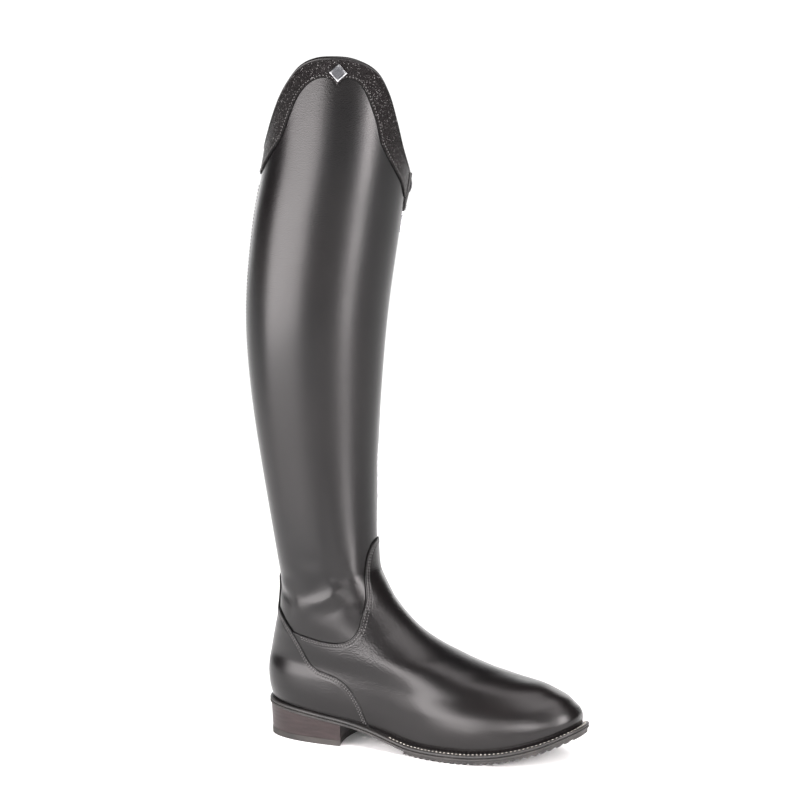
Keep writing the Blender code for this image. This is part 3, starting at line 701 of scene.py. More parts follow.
def add(tree, kind, inputs):
    """New node of a kind, with its inputs set to values or linked to what other nodes give."""
    node = tree.nodes.new("ShaderNode" + kind)
    for socket, value in inputs.items():
        if isinstance(value, bpy.types.NodeSocket):
            tree.links.new(value, node.inputs[socket])
        else:
            node.inputs[socket].default_value = value
    return node


def noise(tree, scale, detail=3.0, stretch=None):
    place = tree.place
    if stretch:
        place = add(tree, "Mapping", {"Vector": place, "Scale": stretch}).outputs["Vector"]
    return add(tree, "TexNoise", {"Vector": place, "Scale": scale, "Detail": detail}).outputs["Fac"]


def cells(tree, scale, output="Distance", feature="F1"):
    node = add(tree, "TexVoronoi", {"Vector": tree.place, "Scale": scale})
    node.feature = feature
    return node.outputs[output]


def bands(tree, scale, direction, distortion=0.0):
    inputs = {"Vector": tree.place, "Scale": scale, "Distortion": distortion, "Detail Scale": 3.0}
    node = add(tree, "TexWave", inputs)
    node.bands_direction = direction
    return node.outputs["Fac"]


def ramp(tree, source, stops):
    node = tree.nodes.new("ShaderNodeValToRGB")
    elements = node.color_ramp.elements
    while len(elements) < len(stops):
        elements.new(0.5)
    for element, (position, colour) in zip(elements, stops):
        element.position = position
        element.color = (*colour, 1.0)
    tree.links.new(source, node.inputs["Fac"])
    return node.outputs["Color"]


def fitted(tree, source, low, high):
    return add(tree, "MapRange", {"Value": source, "To Min": low, "To Max": high}).outputs["Result"]


def times(tree, a, b):
    node = add(tree, "Math", {0: a, 1: b})
    node.operation = "MULTIPLY"
    return node.outputs["Value"]


def near_point(tree, middle, reach):
    """One at a place on the object, falling to nothing at a distance."""
    node = add(tree, "VectorMath", {0: tree.place, 1: middle})
    node.operation = "DISTANCE"
    inputs = {"Value": node.outputs["Value"], "From Min": reach, "From Max": reach * 0.3}
    return add(tree, "MapRange", inputs).outputs["Result"]


def bump(tree, height, distance, strength=1.0):
    """Bump laid over the bumps that the shader has already."""
    node = add(tree, "Bump", {"Height": height, "Distance": distance, "Strength": strength})
    before = tree.shader.inputs["Normal"].links
    if before:
        tree.links.new(before[0].from_socket, node.inputs["Normal"])
    tree.links.new(node.outputs["Normal"], tree.shader.inputs["Normal"])


def colour(tree, source):
    tree.links.new(source, tree.shader.inputs["Base Color"])


def rough(tree, source):
    tree.links.new(source, tree.shader.inputs["Roughness"])


def tones(tree, dark, light, scale, detail=3.0, stretch=None, ends=(0.3, 0.7)):
    """Base colour that wanders between two tones."""
    colour(tree, ramp(tree, noise(tree, scale, detail, stretch), ((ends[0], dark), (ends[1], light))))


def gloss(tree, low, high, scale, detail=3.0, stretch=None):
    """Roughness that wanders between two values."""
    rough(tree, fitted(tree, noise(tree, scale, detail, stretch), low, high))


def leather(name, low, high, grain=0.00008, pebbles=None):
    """Satin calf leather: fine pores, soft waves in its gloss and a faint warm cast."""
    tree = new_material(name, low, coat=0.06, coat_roughness=0.20, specular=0.29)
    tones(tree, COOL, WARM, 9.0, ends=(0.35, 0.7))
    gloss(tree, low, high, 38.0, 4.0)
    bump(tree, noise(tree, 60.0, 2.0), 0.00004, 0.6)
    bump(tree, cells(tree, 1150.0, feature="SMOOTH_F1"), grain)
    bump(tree, noise(tree, 3200.0, 2.0), grain * 0.6)
    if pebbles:
        grains = cells(tree, PEBBLE_SCALE, feature="SMOOTH_F1")
        bump(tree, times(tree, grains, near_point(tree, *pebbles)), PEBBLE_HEIGHT)
    return tree.material


BEAD_SCALE = 2400.0
# Beads: share of them up to a tone, and the tone; the lightest few are painted glints, a painted highlight
BEAD_TONES_AND_GLINTS = ((0.0, (0.0020, 0.0015, 0.0016)), (0.78, (0.004, 0.003, 0.003)), (0.96, (0.016, 0.014, 0.014)),
              (1.0, (0.24, 0.23, 0.23)))


def glitter():
    """Close-set tiny dark beads; a few get a light base colour that stands in for glints, a painted
    highlight.
    """
    tree = new_material("glitter_beads", 0.4, metallic=0.15, specular=0.12)
    split = tree.nodes.new("ShaderNodeSeparateColor")
    tree.links.new(cells(tree, BEAD_SCALE, "Color"), split.inputs["Color"])
    # painted highlight: the lightest few beads are light in colour to stand for glints
    colour(tree, ramp(tree, split.outputs["Red"], BEAD_TONES_AND_GLINTS))
    rough(tree, fitted(tree, split.outputs["Green"], 0.22, 0.5))
    bump(tree, fitted(tree, cells(tree, BEAD_SCALE), 1.0, 0.0), 0.00030)
    return tree.material


def metal(name, tone, roughness):
    tree = new_material(name, roughness, metallic=1.0)
    tones(tree, tuple(v * 0.82 for v in tone), tone, 240.0, ends=(0.3, 0.65))
    gloss(tree, roughness * 0.7, roughness * 1.5, 700.0)
    bump(tree, noise(tree, 1600.0, 2.0), 0.00001)
    return tree.material


def plate_metal():
    """Polished frame round a darker, brushed field."""
    low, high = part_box("badge")
    middle = tuple((low + high) / 2)
    tree = new_material("chrome", 0.16, metallic=1.0)
    colour(tree, ramp(tree, near_point(tree, middle, BADGE_REACH * 1.1),
                      ((0.45, (0.66, 0.66, 0.68)), (0.62, (0.30, 0.30, 0.32)), (1.0, (0.24, 0.24, 0.26)))))
    gloss(tree, 0.12, 0.30, 900.0, stretch=(1.0, 1.0, 0.1))
    bump(tree, noise(tree, 1600.0, 2.0), 0.00001)
    return tree.material


def rubber(name, dark, light, roughness, grain=0.00006, specular=0.5):
    tree = new_material(name, roughness, specular=specular)
    tones(tree, dark, light, 70.0, 5.0, ends=(0.35, 0.75))
    gloss(tree, roughness * 0.85, min(1.0, roughness * 1.2), 180.0)
    bump(tree, noise(tree, 1400.0, 4.0), grain)
    return tree.material


def stacked():
    """Dyed leather heel: faint lifts one on another, rubbed at the edges."""
    tree = new_material("heel_lifts", 0.42, specular=0.3)
    tones(tree, (0.015, 0.0100, 0.0100), (0.028, 0.0190, 0.0190), 90.0, 4.0, (0.6, 0.6, 3.0), (0.3, 0.75))
    gloss(tree, 0.34, 0.55, 160.0, 4.0, (0.5, 0.5, 4.0))
    bump(tree, bands(tree, 90.0, "Z", 0.15), 0.00005)
    bump(tree, noise(tree, 900.0, 4.0), 0.00004)
    return tree.material


def woven():
    tree = new_material("zip_weave", 0.85)
    weave = times(tree, bands(tree, 420.0, "Z"), bands(tree, 420.0, "DIAGONAL"))
    colour(tree, ramp(tree, weave, ((0.0, (0.006, 0.006, 0.006)), (1.0, (0.03, 0.03, 0.032)))))
    bump(tree, weave, 0.0002)
    return tree.material


def thread(name, dark, light):
    tree = new_material(name, 0.55)
    tones(tree, dark, light, 900.0, 2.0)
    bump(tree, bands(tree, 2600.0, "DIAGONAL"), 0.00004)
    return tree.material


def lining():
    tree = new_material("lining_leather", 0.6)
    tones(tree, (0.05, 0.042, 0.036), (0.085, 0.07, 0.058), 26.0, 4.0)
    gloss(tree, 0.5, 0.75, 60.0)
    bump(tree, cells(tree, 900.0, feature="SMOOTH_F1"), 0.00005)
    return tree.material


# Tones of the black leather, and the pebbled place on the vamp
PEBBLE_SCALE = 780.0
PEBBLE_HEIGHT = 0.00026
PEBBLE_REACH = 0.055
PEBBLE_PLACE = tuple(float(v) for v in sample(POINTS, np.array(118.0), np.array(5.8)))
COOL = (0.0021, 0.0019, 0.0021)
WARM = (0.0050, 0.0042, 0.0042)
SHAFT_LEATHER = leather("calf_shaft", 0.21, 0.27)
FOOT_LEATHER = leather("calf_foot", 0.21, 0.27, pebbles=(PEBBLE_PLACE, PEBBLE_REACH))
TRIM_LEATHER = leather("calf_binding", 0.28, 0.4, 0.00004)
BEADS = glitter()
CHROME = plate_metal()
ZIP_METAL = metal("zip_nickel", (0.34, 0.34, 0.36), 0.28)
STUD_METAL = metal("stud_gunmetal", (0.05, 0.05, 0.055), 0.3)
TAPE = woven()
LINING = lining()
SOLE_RUBBER = rubber("sole_rubber", (0.010, 0.0095, 0.009), (0.026, 0.023, 0.021), 0.62)
WELT_RUBBER = rubber("welt_dressed", (0.006, 0.006, 0.006), (0.014, 0.012, 0.011), 0.48, 0.00003)
TOP_RUBBER = rubber("top_piece_rubber", (0.012, 0.011, 0.010), (0.034, 0.030, 0.027), 0.68)
HEEL_STACK = stacked()
DARK_THREAD = thread("thread_black", (0.034, 0.033, 0.033), (0.085, 0.082, 0.081))
# dark matt bead at the overlay edges: dyed raw edge, and painted shade along the seams
EDGE_DYE_AND_SHADE = rubber("edge_dye_and_painted_shade", (0.0015, 0.0015, 0.0015), (0.004, 0.004, 0.004), 0.8, 0.00002, 0.15)
PALE_THREAD = thread("thread_waxed", (0.30, 0.28, 0.25), (0.50, 0.47, 0.43))


# Upper: bands of the shaft's levels with their steps, close together where the creases are
SHAFT_BANDS = ((0, 4.8, 0.3), (4.8, 9.6, 0.05), (9.6, 13.11, 0.125))
COLLAR_ROWS = 22
LINING_EVERY = 5
BACK_SEAM_HALF = 0.7
BACK_SEAM_DIP = 0.0004
BACK_SEAM_LEVELS = (8.35, 13.5)
BACK_SEAM_OFFSET = 0.0021
TRIM_SEAM_INSET = 0.0016
TAB_SEAM_INSET = 0.0016
BINDING_SIDES = 14
BINDING_HALF = 0.0017
BINDING_OVERHANG = 0.0003


def ring_angles(step):
    return np.arange(0, 360, step)


def lines_of(function, angles):
    return np.array([function(math.radians(a)) for a in angles])


def shaft():
    """Hollow leg and foot, with a smooth lining on its inside."""
    angles = ring_angles(1.2)
    common = np.concatenate([np.arange(*band) for band in SHAFT_BANDS])
    top = lines_of(collar_level, angles)
    rows = [np.full(len(angles), level) for level in common]
    rows += [mix(common[-1], top, k / COLLAR_ROWS) for k in range(1, COLLAR_ROWS + 1)]
    level = np.array(rows)
    angle = np.broadcast_to(angles, level.shape)
    at_seam = np.minimum(angle, 360 - angle) < BACK_SEAM_HALF
    outer = surface(angle, level, np.where(at_seam, -BACK_SEAM_DIP, 0.0))
    keep = np.unique(np.concatenate((np.arange(0, len(rows), LINING_EVERY), [len(rows) - 1])))
    inner = surface(angle[keep], level[keep], -WALL)
    piece = wall("boot_shaft", outer, inner, SHAFT_LEATHER, closed=True, sharp=60)
    piece.data.materials.append(LINING)
    mark_inside(piece)
    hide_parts("upper")


def mark_inside(piece):
    """Second material on the faces that look towards the hollow."""
    faces = piece.data.polygons
    middles = np.empty(len(faces) * 3)
    normals = np.empty(len(faces) * 3)
    faces.foreach_get("center", middles)
    faces.foreach_get("normal", normals)
    outs = NORMALS[::2, ::3].reshape(-1, 3)
    tree = point_tree(POINTS[::2, ::3].reshape(-1, 3))
    pairs = zip(middles.reshape(-1, 3), normals.reshape(-1, 3))
    faces.foreach_set("material_index", [int(np.dot(outs[tree.find(m)[1]], n) < -0.3) for m, n in pairs])


# Edge of the vamp: angle, level, and level in front of the row that starts there
VAMP_EDGE = ((180, 9.32, 9.32), (169, 9.31, 9.315), (158, 9.24, 9.29), (149, 9.0, 9.20), (145, 8.3, 8.9),
             (140, 7.7, 8.6), (134, 7.25, 8.3), (126, 6.9, 7.9), (118, 6.56, 7.5), (109, 6.14, 7.0),
             (99, 5.72, 6.5), (89, 5.31, 6.0), (80, 5.03, 5.5), (73, 4.93, 5.1), (66, 4.92, 4.7),
             (60, 4.97, 4.3), (53, 5.04, 3.9), (44, 5.10, 3.5), (43, 4.8, 3.2), (44.5, 4.3, 3.0),
             (46.5, 3.45, 2.6), (48.5, 2.95, 2.2), (53, 2.42, 1.9), (59, 2.25, 1.6), (63, 2.0, 1.3),
             (66, 1.6, 1.0), (69, 0.85, 0.5), (71, 0.0, 0.0))
SEEN_VAMP_EDGE = 17
EDGE_SHADE_RADIUS = 0.00045
EDGE_SHADE_SIDES = 6


def edge_shade_bead(name, angle, level, out):
    """Dark matt bead where an overlay meets the leather under it: partly its dyed raw edge, partly painted
    shade along the seam line.
    """
    rows = []
    for k in range(EDGE_SHADE_SIDES):
        turn = math.tau * k / EDGE_SHADE_SIDES
        row = moved_line(angle, level, EDGE_SHADE_RADIUS * math.cos(turn))
        rows.append(surface(*row, out + EDGE_SHADE_RADIUS * math.sin(turn)))
    size = len(angle)
    faces = loop_faces(EDGE_SHADE_SIDES, size, False)
    faces.append(tuple(k * size for k in range(EDGE_SHADE_SIDES)))
    faces.append(tuple(k * size + size - 1 for k in reversed(range(EDGE_SHADE_SIDES))))
    new_piece(name, np.array(rows).reshape(-1, 3), faces, EDGE_DYE_AND_SHADE, sharp=80)


def vamp_piece():
    edge = resample(VAMP_EDGE, 230)
    share = edge_steps(118, 1.9)
    angle = edge[:, :1] + (360 - 2 * edge[:, :1]) * share
    level = edge[:, 1:2] + (edge[:, 2:3] - edge[:, 1:2]) * np.sin(np.pi * share)
    out = edge_round(surface(angle, level), OVERLAY_OUT, rows=SEAM_ROWS)
    piece = wall("boot_vamp", surface(angle, level, out), surface(angle, level, -UNDERLAP),
                 FOOT_LEATHER, sharp=60)
    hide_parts("vamp")


def vamp_seams():
    edge = resample(VAMP_EDGE[:SEEN_VAMP_EDGE], 420)
    angle = np.concatenate((360 - edge[::-1, 0], edge[1:, 0]))
    level = np.concatenate((edge[::-1, 1], edge[1:, 1]))
    # dark bead along the vamp's edge: dyed edge and painted seam shade
    edge_shade_bead("vamp_edge_shade", angle, level, OVERLAY_OUT * 0.5)
    for name, inset in zip(("vamp_seam_outer", "vamp_seam_inner"), SEAM_ROWS):
        stitches(name, *moved_line(angle, level, inset), OVERLAY_OUT - STITCH_DIP * 0.6)


def counter_border(count):
    table = [(max(a, 0.4), l) for a, l in COUNTER_LINE[:-1]] + [(74.5, 0.0)]
    return resample(table, count)


def lap_out(level):
    """The counter lies over the vamp low down and on the shaft above it."""
    return OVERLAY_OUT + (LAP_OUT - OVERLAY_OUT) * np.clip((5.6 - level) / 0.6, 0, 1)


def counter_piece():
    edge = counter_border(230)
    share = edge_steps(70, 1.9)
    angle = -edge[:, :1] + 2 * edge[:, :1] * share
    level = np.broadcast_to(edge[:, 1:2], angle.shape)
    fall = OVERLAY_OUT - edge_round(surface(angle, level), OVERLAY_OUT, 0.0008, SEAM_ROWS)
    piece = wall("boot_counter", surface(angle, level, lap_out(level) - fall),
                 surface(angle, level, -UNDERLAP), FOOT_LEATHER, sharp=60)
    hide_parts("heel_counter")


def counter_seams():
    edge = counter_border(380)
    angle = np.concatenate((-edge[::-1, 0], edge[:, 0]))
    level = np.concatenate((edge[::-1, 1], edge[:, 1]))
    # dark bead along the counter's edge: dyed edge and painted seam shade
    edge_shade_bead("counter_edge_shade", angle, level, lap_out(level) - OVERLAY_OUT * 0.5)
    for name, inset in zip(("counter_seam_outer", "counter_seam_inner"), SEAM_ROWS):
        row_angle, row_level = moved_line(angle, level, -inset)
        seen = row_level > 0.15
        out = lap_out(row_level[seen]) - STITCH_DIP * 0.6
        stitches(name, row_angle[seen], row_level[seen], out)


def back_seam():
    level = np.linspace(*BACK_SEAM_LEVELS, 300)
    for name, side in (("back_seam_lateral", 1), ("back_seam_medial", -1)):
        angle = side * BACK_SEAM_OFFSET / sample(PER_DEGREE, level * 0, level)
        stitches(name, angle, level, 0.0, pitch=0.0029, long=0.0022)


def trim_piece():
    front, back = TRIM_FRONT
    angles = np.arange(back, 360 + front + 0.1, 0.8)
    low = lines_of(trim_level, angles)
    high = lines_of(collar_level, angles)
    level = low + (high - low) * edge_steps(44, 1.6)[:, None]
    angle = np.broadcast_to(angles, level.shape)
    out = edge_round(surface(angle, level), OVERLAY_OUT)
    piece = wall("boot_trim", surface(angle, level, out), surface(angle, level, -UNDERLAP), BEADS,
                 sharp=60)
    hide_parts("glitter_trim")
    edge = np.linspace(back + 0.8, 360 + front - 0.8, 900)
    edge_level = lines_of(trim_level, edge)
    # dark bead along the trim's lower edge: dyed edge and painted seam shade
    edge_shade_bead("trim_edge_shade", edge, edge_level, OVERLAY_OUT * 0.4)
    stitches("trim_seam", *moved_line(edge, edge_level, TRIM_SEAM_INSET), OVERLAY_OUT, pitch=0.0026)


def binding_piece():
    """Rolled leather cord along the top line."""
    angles = ring_angles(0.8)
    level = lines_of(collar_level, angles)
    middle = (OVERLAY_OUT - WALL) / 2
    half = (OVERLAY_OUT + WALL) / 2 + BINDING_OVERHANG
    rows = []
    for k in range(BINDING_SIDES):
        turn = math.tau * k / BINDING_SIDES
        points = surface(angles, level, middle - half * math.cos(turn))
        rows.append(points + np.array([0, 0, BINDING_OVERHANG + BINDING_HALF * math.sin(turn)]))
    points = np.array(rows).reshape(-1, 3)
    faces = loop_faces(BINDING_SIDES, len(angles))
    piece = new_piece("boot_binding", points, faces, TRIM_LEATHER, sharp=80)
    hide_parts("collar_binding")


# Closing tab and stud
def tab_edge(theta):
    share = (math.degrees(theta) - TAB_SPAN[0]) / (TAB_SPAN[1] - TAB_SPAN[0])
    return FRONT_DIP_HEIGHT - TAB_LENGTH - smooth(TAB_TAIL_LINE, share) * TAB_TAIL


def tab_level(theta):
    return level_at(tab_edge(theta))


def tab_piece():
    first, last = TAB_SPAN
    angles = np.linspace(first, last, 90)
    low = lines_of(tab_level, angles)
    share = edge_steps(56, 1.6)[:, None]
    level = low + (level_at(FRONT_DIP_HEIGHT - SEAM_GAP) - low) * share
    angle = np.broadcast_to(angles, level.shape)
    thick = TAB_THICKNESS * (0.55 + 0.45 * np.clip(share * 2, 0, 1))
    out = SEAM_GAP * 2 + thick * edge_round(surface(angle, level), 1.0, 0.0012)
    piece = wall("boot_tab", surface(angle, level, out), surface(angle, level, SEAM_GAP),
                 TRIM_LEATHER, sharp=60)
    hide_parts("closing_tab")
    edge = np.linspace(first + 1.6, last - 1.6, 200)
    row = moved_line(edge, lines_of(tab_level, edge), TAB_SEAM_INSET)
    stitches("tab_seam", *row, SEAM_GAP * 2 + TAB_THICKNESS * 0.62, pitch=0.0022, long=0.0016)


def turned(name, middle, out, profile, material, slot, count=48):
    """Round piece turned about an axis from (radius, height) pairs."""
    side = out.orthogonal().normalized()
    other = out.cross(side)
    points = []
    for radius, height in profile:
        for k in range(count):
            turn = math.tau * k / count
            points.append(middle + (side * math.cos(turn) + other * math.sin(turn)) * radius + out * height)
    return new_piece(name, points, tube_faces(len(profile), count), material)


def stud_piece():
    theta = math.radians(mix(TAB_SPAN[0], TAB_SPAN[1], 0.42))
    level = level_at(FRONT_DIP_HEIGHT - TAB_LENGTH * 0.52)
    out = outward(theta, level)
    middle = skin(theta, level, SEAM_GAP * 3 + TAB_THICKNESS - 0.0004)
    r, h = STUD_RADIUS, STUD_HEIGHT + 0.0004
    profile = ((r * 0.9, 0), (r, h * 0.2), (r, h * 0.38), (r * 0.95, h * 0.5), (r * 0.86, h * 0.52),
               (r * 0.82, h * 0.62), (r * 0.66, h * 0.86), (r * 0.4, h * 0.97), (r * 0.12, h))
    piece = turned("boot_stud", middle, out, profile, STUD_METAL, "stud_black")
    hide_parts("press_stud")


# Zip
TAPE_OUT = SEAM_GAP + ZIP_TAPE
SLIDER_TOP = tab_edge(ZIP_ANGLE - math.radians(8)) - ZIP_CLEARANCE
TOOTH_PITCH = 0.00135
TOOTH_MIDDLE = 0.0008
TOOTH_REACH = 0.0013
TOOTH_HALF = 0.00042
ZIP_SEAM_GAP = 0.0016
# Layers of a tooth: height over the tape, and size
TOOTH_LAYERS = ((0.0, 1.0), (0.0008, 1.0), (0.00105, 0.75))
TOOTH_CORNERS = ((-1, -1), (1, -1), (1, 1), (-1, 1))


def zip_teeth_piece():
    """Two rows of moulded teeth that mesh along the middle of the tape."""
    levels = np.linspace(ZIP_FOOT_LEVEL + 0.12, level_at(SLIDER_TOP - SLIDER_LENGTH - SEAM_GAP), 400)
    angle = np.full(len(levels), math.degrees(ZIP_ANGLE))
    path = surface(angle, levels, TAPE_OUT)
    normals = normal_at(angle, levels)
    run = run_along(path)
    points = []
    faces = []
    for n in range(int(run[-1] / TOOTH_PITCH * 2)):
        distance = n * TOOTH_PITCH / 2
        spot = at_run(run, path, distance)
        ahead = at_run(run, path, distance + 0.001) - spot
        if np.linalg.norm(ahead) < 1e-6:
            continue
        ahead /= np.linalg.norm(ahead)
        out = at_run(run, normals, distance)
        side = np.cross(out, ahead) * (1 if n % 2 else -1)
        start = len(points)
        for depth, shrink in TOOTH_LAYERS:
            for x, y in TOOTH_CORNERS:
                reach = TOOTH_MIDDLE + x * TOOTH_REACH * shrink
                points.append(spot + side * reach + ahead * y * TOOTH_HALF * shrink + out * depth)
        faces += tube_faces(len(TOOTH_LAYERS), len(TOOTH_CORNERS), start)
    piece = new_piece("boot_zip_teeth", points, faces, ZIP_METAL, sharp=30)
    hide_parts("zip_teeth")


def zip_seams():
    levels = np.linspace(ZIP_FOOT_LEVEL - 0.1, level_at(FRONT_DIP_HEIGHT - TAB_LENGTH - 0.014), 260)
    middle = math.degrees(ZIP_ANGLE)
    for name, side in (("zip_seam_front", -1), ("zip_seam_back", 1)):
        offset = side * (ZIP_TAPE_WIDTH / 2 + ZIP_SEAM_GAP) / sample(PER_DEGREE, levels * 0 + middle, levels)
        stitches(name, middle + offset, levels, 0.0)


# Sole
OUTLINE_STEPS = 300
OVERLAP = 0.0002
RIB_GROOVE = 0.36
TREAD_INSET = 0.0012


def outline_sweep(name, profile, base, material, capped):
    """Band along the sole's outline from rows of (inset, height above the base)."""
    count = OUTLINE_STEPS
    points = []
    for inset, height in profile:
        for k in range(count):
            theta = math.tau * (k + 0.5) / count
            x, across = sole_edge(theta, inset(theta) if callable(inset) else inset)
            points.append((x - HEEL_LENGTH / 2, -across, base(x) + height))
    rows = len(profile)
    if not capped:
        return new_piece(name, points, loop_faces(rows, count), material, sharp=40)
    faces = grid_quads(rows, count, True)
    for start, turn in ((0, False), ((rows - 1) * count, True)):
        for k in range(count // 2 - 1):
            face = (start + k, start + k + 1, start + count - 2 - k, start + count - 1 - k)
            faces.append(tuple(reversed(face)) if turn else face)
    return new_piece(name, points, faces, material, sharp=40)


def welt_piece():
    def inner(theta):
        return feather_inset(theta) + WELT_LEDGE

    profile = ((inner, 0.0), (0.0006, 0.0), (0.0002, 0.0002), (0.0, 0.0007), (0.0, WELT - 0.0013),
               (0.0002, WELT - 0.0007), (0.0006, WELT - 0.0002), (0.0011, WELT), (0.0021, WELT),
               (0.0025, WELT - 0.0003), (0.0031, WELT - 0.0003), (0.0035, WELT), (inner, WELT))
    piece = outline_sweep("boot_welt", profile, welt_underside, WELT_RUBBER, False)
    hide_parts("welt")


def welt_stitches():
    """Pale thread on the welt round the forepart, from the waist on."""
    angles = np.linspace(math.radians(82), math.radians(278), 700)
    path = []
    for theta in angles:
        x, across = sole_edge(theta, 0.0028)
        path.append((x - HEEL_LENGTH / 2, -across, welt_underside(x) + WELT - 0.0001))
    path = np.array(path)
    up = np.tile(np.array([0.0, 0.0, 1.0]), (len(path), 1))
    thread_row("welt_seam", path, up, PALE_THREAD, 0.0034, 0.0020, 0.00050)


def outsole_piece():
    profile = ((0.0024, 0.0), (0.0009, 0.0002), (0.0, 0.0010), (0.0, OUTSOLE - 0.0006),
               (0.0003, OUTSOLE - 0.0002), (0.0010, OUTSOLE))
    piece = outline_sweep("boot_outsole", profile, outsole_underside, SOLE_RUBBER, True)
    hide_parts("outsole")


def angle_of(share):
    return math.acos(1 - 2 * min(max(share, 0.0), 1.0))


def layer(rows, height):
    """Points in the frame from rows of (x, across), at a height that follows x."""
    return np.array([[(x - HEEL_LENGTH / 2, -across, height(x)) for x, across in row] for row in rows])


def across_sole(theta, inset, shares):
    """Points from the sole's inner edge to its outer edge."""
    lateral = sole_edge(theta, inset)
    medial = sole_edge(-theta, inset)
    return [(mix(medial[0], lateral[0], share), mix(medial[1], lateral[1], share)) for share in shares]


def bevelled(piece, width, segments):
    step = piece.modifiers.new("edges", "BEVEL")
    step.width = width
    step.segments = segments
    step.limit_method = "ANGLE"
    step.angle_limit = math.radians(50)


def rib_depth(x, start, pitch, count):
    """How far the tread is cut away at x, as a share of the ribs' depth."""
    k = (x - start) / pitch
    if k >= count - 1:
        return 0.0
    groove = pitch * RIB_GROOVE
    stops = (pitch - groove - RIB_FLANK * 2, pitch - groove - RIB_FLANK, pitch - RIB_FLANK, pitch)
    return float(np.interp((k - math.floor(k)) * pitch, stops, (0.0, 1.0, 1.0, 0.0), left=0.0))


def tread_piece():
    """Half sole with ribs across it that show along its edge."""
    start, end = TREAD_START * SOLE_LENGTH, SOLE_LENGTH * 0.9995
    count = int((end - start) / RIB_PITCH)
    pitch = (end - start) / count
    land = pitch * (1 - RIB_GROOVE)
    stops = {start + k * pitch + part for k in range(count - 1)
             for part in (0.0, land - RIB_FLANK * 2, land - RIB_FLANK, pitch - RIB_FLANK)}
    stops |= {SOLE_LENGTH * (1 - math.cos(t)) / 2 for t in np.linspace(angle_of(0.9), angle_of(0.9995), 40)}
    rows = [across_sole(angle_of(x / SOLE_LENGTH), TREAD_INSET, (0, 0.33, 0.67, 1)) for x in sorted(stops)]

    def bottom(x):
        return outsole_underside(x) - SEAM_GAP - TREAD + rib_depth(x, start, pitch, count) * RIB_DEPTH

    top = layer(rows, lambda x: outsole_underside(x) + OVERLAP)
    piece = wall("boot_tread", top, layer(rows, bottom), SOLE_RUBBER)
    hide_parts("forefoot_tread")


def heel_rows(inset):
    """Rows across the heel from its back to its hollow breast."""
    last = angle_of(HEEL_LENGTH / SOLE_LENGTH)
    shares = [k / 12 for k in range(13)]
    rows = []
    for theta in [math.radians(0.6)] + [last * k / 60 for k in range(1, 61)]:
        bow = BREAST_CURVE * (theta / last) ** 4
        row = across_sole(theta, inset, shares)
        rows.append([(x - bow * (1 - (2 * share - 1) ** 2), y) for share, (x, y) in zip(shares, row)])
    return rows


def heel_pieces():
    high = layer(heel_rows(HEEL_INSET), lambda x: outsole_underside(x) + OVERLAP)
    low = layer(heel_rows(HEEL_INSET + HEEL_TAPER), lambda x: TOP_PIECE + OVERLAP / 2)
    block = wall("boot_heel", high, low, HEEL_STACK)
    bevelled(block, 0.0004, 2)
    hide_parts("heel_block")
    rows = heel_rows(HEEL_INSET + HEEL_TAPER - OVERLAP)
    piece = wall("boot_heel_top_piece", layer(rows, lambda x: TOP_PIECE), layer(rows, lambda x: 0.0),
                 TOP_RUBBER)
    bevelled(piece, 0.0005, 3)
    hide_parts("heel_top_piece")


# Carried-over nodes
def dress(name, material):
    for slot in frame["nodes"][name].material_slots:
        slot.material = material


# Stage
CAMERA_PLACE = (0.9255, -1.9939, 0.62)
AIM = (0.0611, 0.0305, 0.2721)
FOCAL = 125.1
FLOOR_HALF = 5.0


def camera():
    data = bpy.data.cameras.new("camera")
    data.lens = FOCAL
    data.sensor_width = 36.0
    data.clip_end = 30.0
    eye = bpy.data.objects.new("camera", data)
    eye.location = CAMERA_PLACE
    eye.rotation_euler = (Vector(AIM) - Vector(CAMERA_PLACE)).to_track_quat("-Z", "Y").to_euler()
    bpy.context.scene.collection.objects.link(eye)
    bpy.context.scene.camera = eye


def floor():
    mesh = bpy.data.meshes.new("floor")
    h = FLOOR_HALF
    mesh.from_pydata([(-h, -h, 0), (h, -h, 0), (h, h, 0), (-h, h, 0)], [], [(0, 1, 2, 3)])
    ground = bpy.data.objects.new("floor", mesh)
    bpy.context.scene.collection.objects.link(ground)
    tree = new_material("floor_paper", 0.9, specular=0.1)
    tones(tree, (0.90, 0.90, 0.90), (0.93, 0.93, 0.93), 3.0)
    mesh.materials.append(tree.material)


# Lamps round the boot: bearing from the camera's side in degrees, middle height, width, height,
# radiance, distance
SIDE_LAMPS = (
    ("lamp_left", -51, 0.32, 0.98, 0.48, 12.6, 0.95),
    ("lamp_right", 41, 0.38, 0.26, 0.60, 23.0, 0.95),
    ("lamp_behind", 150, 0.90, 0.50, 1.5, 2.0, 1.9),
)
# Lamps placed one by one: place, aim, width, height, radiance, spread in degrees
PLACED_LAMPS = (
    ("lamp_top", (AIM[0] + 0.60, AIM[1] - 0.42, 1.6), (AIM[0], AIM[1], 0.0), 1.2, 1.2, 4.6, 180),
    ("lamp_toe", (0.329, -0.41, 0.150), (0.19, -0.035, 0.04), 0.28, 0.06, 34.0, 50),
)
LAMP_COLOUR = (1.0, 0.950, 0.953)


def lamp(name, spot, aim, width, tall, radiance, spread=180):
    """Soft box of a given radiance on its axis, also where a grid narrows its beam."""
    half = math.radians(spread) / 2
    beam = 1.0 if spread >= 180 else 1 - half / math.tan(half)
    data = bpy.data.lights.new(name, "AREA")
    data.shape = "RECTANGLE"
    data.size = width
    data.size_y = tall
    data.color = LAMP_COLOUR
    data.spread = math.radians(spread)
    data.energy = radiance * math.pi * width * tall * beam
    item = bpy.data.objects.new(name, data)
    item.location = spot
    item.rotation_euler = (Vector(aim) - Vector(spot)).to_track_quat("-Z", "Y").to_euler()
    item.visible_camera = False
    bpy.context.scene.collection.objects.link(item)


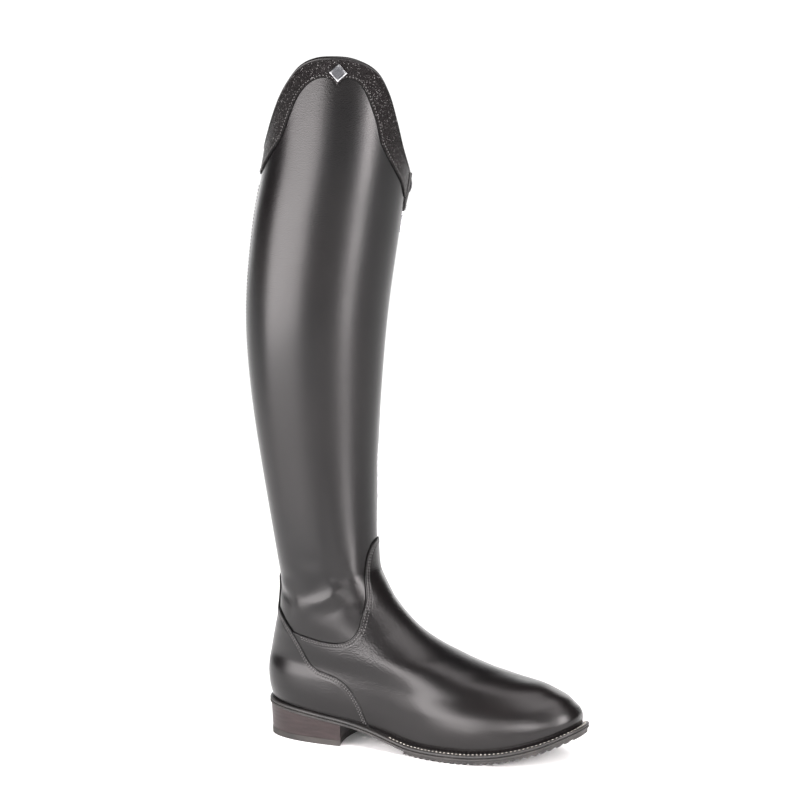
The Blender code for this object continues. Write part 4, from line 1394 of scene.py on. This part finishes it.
def lamps():
    heading = math.atan2(CAMERA_PLACE[1] - AIM[1], CAMERA_PLACE[0] - AIM[0])
    for name, bearing, height, width, tall, radiance, distance in SIDE_LAMPS:
        turn = heading + math.radians(bearing)
        spot = (AIM[0] + math.cos(turn) * distance, AIM[1] + math.sin(turn) * distance, height)
        lamp(name, spot, (AIM[0], AIM[1], height), width, tall, radiance)
    for row in PLACED_LAMPS:
        lamp(*row)


PAPER_WHITE = 1.13
# Studio that the boot mirrors: share from the camera's side to the backdrop, and brightness
STUDIO = ((0.0, 0.38), (0.15, 0.32), (0.30, 0.12), (0.50, 0.04), (0.78, 0.05), (0.88, 0.9), (0.95, 2.2))


def world():
    """White paper for what the light falls on, and a dark studio for what the boot mirrors."""
    sky = bpy.data.worlds.new("studio")
    sky.use_nodes = True
    nodes, links = sky.node_tree.nodes, sky.node_tree.links
    tree = Tree(sky, nodes, links, None, nodes.new("ShaderNodeTexCoord").outputs["Generated"])
    away = Vector((AIM[0] - CAMERA_PLACE[0], AIM[1] - CAMERA_PLACE[1], 0.0))
    along = add(tree, "VectorMath", {0: tree.place, 1: away.normalized()})
    along.operation = "DOT_PRODUCT"
    share = add(tree, "MapRange", {"Value": along.outputs["Value"], "From Min": -1.0}).outputs["Result"]
    room = nodes["Background"]
    links.new(ramp(tree, share, [(stop, (tone, tone, tone)) for stop, tone in STUDIO]), room.inputs["Color"])
    paper = add(tree, "Background", {"Color": (1.0, 1.0, 1.0, 1.0), "Strength": PAPER_WHITE})
    glossy = nodes.new("ShaderNodeLightPath").outputs["Is Glossy Ray"]
    choose = add(tree, "MixShader", {"Fac": glossy, 1: paper.outputs["Background"],
                                     2: room.outputs["Background"]})
    links.new(choose.outputs["Shader"], nodes["World Output"].inputs["Surface"])
    bpy.context.scene.world = sky
    bpy.context.scene.view_settings.view_transform = "Standard"


shaft()
vamp_piece()
vamp_seams()
counter_piece()
counter_seams()
back_seam()
trim_piece()
binding_piece()
tab_piece()
stud_piece()
zip_teeth_piece()
zip_seams()
welt_piece()
welt_stitches()
outsole_piece()
tread_piece()
heel_pieces()
for kept, coat in (("badge", CHROME), ("zip_tape", TAPE), ("zip_slider", ZIP_METAL),
                   ("zip_pull", ZIP_METAL), ("insole", LINING)):
    dress(kept, coat)
camera()
floor()
lamps()
world()
